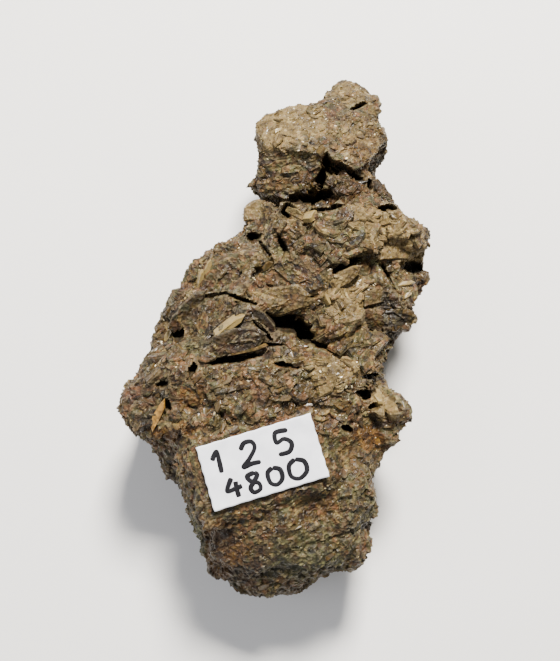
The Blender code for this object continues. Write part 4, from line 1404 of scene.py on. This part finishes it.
def build_featured_crystals(body: Surface, rock: bpy.types.Material, crystal: bpy.types.Material) -> None:
    """Makes the large plates, the clean bright crystals and the golden sliver, each as one piece."""
    groups = (("large_plates", LARGE_PLATES, rock), ("bright_crystals", BRIGHT_CRYSTALS, crystal))
    for name, crystals, material in groups:
        piece = new_piece(name, BladeField.featured(crystals, body, 17), material, smooth=False)
        BladeField.tone(piece, np.array([c.centre for c in crystals]), np.array([c.tint for c in crystals]))
        hand_over(piece, "axinite")
    flake = BladeField.featured((GOLDEN_SLIVER,), body, 99)
    sliver = new_piece("golden_sliver", flake, GoldFinish().build(), smooth=False)
    hand_over(sliver, "axinite")


@dataclass
class LabelSheet:
    """The paper label: a thin sheet whose lower corners lift, with hand-drawn numbers in ink."""

    thickness: float = 0.12
    cells: tuple[int, int] = (64, 36)
    stroke: float = 0.62

    @staticmethod
    def curl(u: Array, v: Array) -> Array:
        """How far the sheet lifts off the rock: half a millimetre * |u| cubed * the low share squared."""
        return 0.5 * np.abs(u) ** 3 * np.maximum(0.0, -v) ** 2

    def height(self, u: Array, v: Array) -> Array:
        """The lift with a slight waviness of glued paper on uneven rock."""
        wave = 0.05 * np.sin(5.0 * u + 1.3 * v) * np.cos(2.2 * v - 0.7) + 0.03 * np.sin(9.0 * u * v + 1.0)
        return self.curl(u, v) + wave - 0.02

    def place(self, u: Array, v: Array, above: float) -> Array:
        """Points of the drawing frame at shares of the sheet's half sizes, at a height above its top."""
        local = np.stack([u * LABEL_SIZE[0] / 2, v * LABEL_SIZE[1] / 2, self.height(u, v) + above], axis=-1)
        return local.reshape(-1, 3) @ LABEL_AXES.T + LABEL_CENTRE

    def sheet(self) -> Surface:
        """A grid above and a grid below, joined round the rim. The cut edges waver a little."""
        across, along = self.cells
        u, v = np.meshgrid(np.linspace(-1, 1, across + 1), np.linspace(-1, 1, along + 1))
        cut_u = u * (1 - 0.012 * np.abs(u) ** 8 * (0.5 + 0.5 * np.sin(17 * v)))
        cut_v = v * (1 - 0.014 * np.abs(v) ** 8 * (0.5 + 0.5 * np.sin(23 * u + 1.0)))
        points = np.concatenate([self.place(cut_u, cut_v, 0.0), self.place(cut_u, cut_v, -self.thickness)])
        index = np.arange((across + 1) * (along + 1)).reshape(along + 1, across + 1)
        corners = [index[:-1, :-1], index[:-1, 1:], index[1:, 1:], index[1:, :-1]]
        top = np.stack(corners, axis=-1).reshape(-1, 4)
        low = top[:, ::-1] + index.size
        rim = np.concatenate([index[0], index[1:, -1], index[-1, -2::-1], index[-2::-1, 0]])
        side = np.stack([rim[:-1], rim[:-1] + index.size, rim[1:] + index.size, rim[1:]], axis=-1)
        return Surface(points, np.concatenate([top, low, side]))

    # Pen strokes in millimetres from the label's middle, as the points of smooth lines.
    STROKES = (
        ((-6.4, 2.1), (-5.5, 3.1), (-5.5, 1.7), (-5.6, 0.2)),
        (
            (-2.4, 2.3), (-1.7, 3.1), (-0.7, 3.0), (-0.5, 2.1),
            (-1.6, 0.9), (-2.6, 0.1), (-1.4, 0.2), (-0.2, 0.1),
        ),
        ((4.4, 3.1), (2.7, 3.2), (2.5, 1.9), (3.6, 2.1), (4.4, 1.3), (3.8, 0.3), (2.3, 0.3)),
        ((-4.6, -0.8), (-5.6, -2.3), (-4.4, -2.3), (-3.5, -2.2)),
        ((-4.2, -1.4), (-4.3, -2.4), (-4.3, -3.5)),
        ((-1.4, -1.0), (-2.5, -1.2), (-2.2, -2.0), (-1.3, -2.5), (-1.3, -3.3), (-2.2, -3.5), (-2.5, -2.8),
         (-1.8, -2.1), (-1.2, -1.4), (-1.5, -1.0)),
        ((1.0, -1.1), (0.2, -1.6), (0.2, -2.9), (1.0, -3.4), (1.9, -2.8), (1.9, -1.6), (1.0, -1.1)),
        ((4.2, -0.9), (3.2, -1.5), (3.1, -2.9), (4.1, -3.5), (5.3, -2.8), (5.3, -1.5), (4.2, -0.9)),
    )

    def stroke_surface(self, path: tuple[tuple[float, float], ...]) -> Surface:
        """A flat bead of ink along a smooth line through the points.

        The line is a Catmull-Rom curve: each point pulls with half the step between its neighbours. A flat
        ellipse, which shrinks at both ends, is carried along it.
        """
        knots = np.array([path[0], *path, path[-1]], float)
        t = np.linspace(0, 1, 12, endpoint=False)[:, None]
        pieces = []
        for a, b, c, d in zip(knots, knots[1:], knots[2:], knots[3:]):
            pieces.append(0.5 * (2 * b + (c - a) * t + (2 * a - 5 * b + 4 * c - d) * t ** 2
                                 + (3 * b - a - 3 * c + d) * t ** 3))
        line = np.concatenate([*pieces, knots[-1:]])
        step = np.gradient(line, axis=0)
        step /= np.maximum(np.linalg.norm(step, axis=1, keepdims=True), 1e-9)
        side = np.stack([-step[:, 1], step[:, 0]], axis=1)
        share = np.linspace(0, 1, len(line))
        ends = np.minimum(1.0, np.minimum(share, 1 - share) / 0.05 + 0.35)
        swell = ends * (1 + 0.1 * np.sin(9 * share + 1.0))
        angle = np.linspace(0, 2 * math.pi, 9)[:-1]
        offset = np.cos(angle)[None, :] * swell[:, None] * self.stroke / 2
        flat = line[:, None, :] + side[:, None, :] * offset[..., None]
        u, v = flat[..., 0] / (LABEL_SIZE[0] / 2), flat[..., 1] / (LABEL_SIZE[1] / 2)
        height = self.height(u, v) + 0.012 + 0.016 * np.sin(angle)[None, :] * swell[:, None]
        local = np.concatenate([flat, height[..., None]], axis=-1).reshape(-1, 3)
        points = local @ LABEL_AXES.T + LABEL_CENTRE
        index = np.arange(line.shape[0] * angle.size).reshape(line.shape[0], angle.size)
        beyond = np.roll(index, -1, axis=1)
        sides = np.stack([index[:-1], beyond[:-1], beyond[1:], index[1:]], axis=-1).reshape(-1, 4)
        ends = index[[0, -1]][:, ((0, 1, 2, 3), (0, 3, 4, 7), (4, 5, 6, 7))]
        return Surface(points, np.concatenate([sides, ends[0][:, ::-1], ends[1]]))

    def build(self) -> None:
        """Makes the sheet and its ink."""
        sheet = new_piece("label_sheet", self.sheet(), PaperFinish().build(), smooth=True)
        hand_over(sheet, "label_paper", LABEL_NODE)
        strokes = [self.stroke_surface(path) for path in self.STROKES]
        starts = np.cumsum([0] + [len(s.points) for s in strokes[:-1]])
        points = np.concatenate([s.points for s in strokes])
        faces = np.concatenate([s.faces + start for s, start in zip(strokes, starts)])
        ink = new_piece("label_ink", Surface(points, faces), InkFinish().build(), smooth=True)
        hand_over(ink, "label_paper")


@dataclass
class Studio:
    """The plain pale floor, the soft lights and the camera at the photograph's viewing angle."""

    view: PhotoView = PHOTO_VIEW
    sensor: float = 36.0

    def camera(self) -> None:
        """A camera above the specimen, towards its lower end, looking down along its length."""
        data = bpy.data.cameras.new("camera")
        data.sensor_width = self.sensor
        data.lens = self.view.focal_pixels / self.view.height * self.sensor
        data.clip_start = 0.005
        camera = bpy.data.objects.new("camera", data)
        camera.location = Vector((self.view.eye() + SHIFT) * MM)
        camera.rotation_euler = Vector(self.view.forward()).to_track_quat("-Z", "Y").to_euler()
        bpy.context.scene.collection.objects.link(camera)
        bpy.context.scene.camera = camera

    def light(self, name: str, place: tuple, size: float, power: float, colour: str) -> None:
        """A soft square light that faces the specimen. Its place and size are in metres."""
        data = bpy.data.lights.new(name, "AREA")
        data.size = size
        data.energy = power
        data.color = linear(colour)[:3]
        lamp = bpy.data.objects.new(name, data)
        lamp.location = place
        lamp.rotation_euler = (Vector((0, 0, 0.012)) - Vector(place)).to_track_quat("-Z", "Y").to_euler()
        bpy.context.scene.collection.objects.link(lamp)

    def floor(self) -> None:
        """A wide pale board, matt, with a faint cloudiness."""
        bpy.ops.mesh.primitive_grid_add(x_subdivisions=2, y_subdivisions=2, size=3.0)
        floor = bpy.context.object
        floor.name = "floor"
        material, tree, shader = start_material("pale_board")
        place = add(tree, "TexCoord").outputs["Object"]
        cloud = add(tree, "TexNoise", {"Vector": place, "Scale": per_metre(60.0), "Detail": 3.0})
        blend = {0: cloud.outputs["Fac"], 6: linear("DEDDDB"), 7: linear("E6E5E3")}
        colour = add(tree, "Mix", blend, data_type="RGBA")
        tree.links.new(colour.outputs[2], shader.inputs["Base Color"])
        shader.inputs["Roughness"].default_value = 0.8
        floor.data.materials.append(material)

    def build(self) -> None:
        """Sets the floor, the lights, the world and the camera."""
        self.floor()
        self.light("key", (0.055, 0.22, 0.345), 0.10, 7.4, "FFFAF2")
        self.light("fill", (-0.30, -0.14, 0.30), 0.35, 1.3, "F2F5FF")
        world = bpy.data.worlds.new("studio")
        world.use_nodes = True
        world.node_tree.nodes["Background"].inputs["Color"].default_value = linear("F4F4F2")
        world.node_tree.nodes["Background"].inputs["Strength"].default_value = 0.3
        bpy.context.scene.world = world
        self.camera()


SHIFT = drawing_shift()


def main() -> None:
    """Builds the stage, the rock, its crystals and the label."""
    logging.basicConfig(level=logging.INFO, format="%(name)s: %(message)s")
    Studio().build()
    rock = RockFinish().build()
    crystal = CrystalFinish().build()
    body = RockBody().build(rock)
    build_featured_crystals(body, rock, crystal)
    BladeField(MIDDLE_PLATES).build(body, rock)
    BladeField(SMALL_PLATES).build(body, rock)
    BladeField(SMALL_BLADES).build(body, crystal)
    # Small chips whose pale tones are a painted glint.
    chip = CrystalFinish("axinite_chip_painted_glint", tone=(1.0, 1.0, 1.0), body=GLINT_TONES).build()
    BladeField(GLINTS, 0.2).build(body, chip)
    LabelSheet().build()


if __name__ == "__main__":
    main()
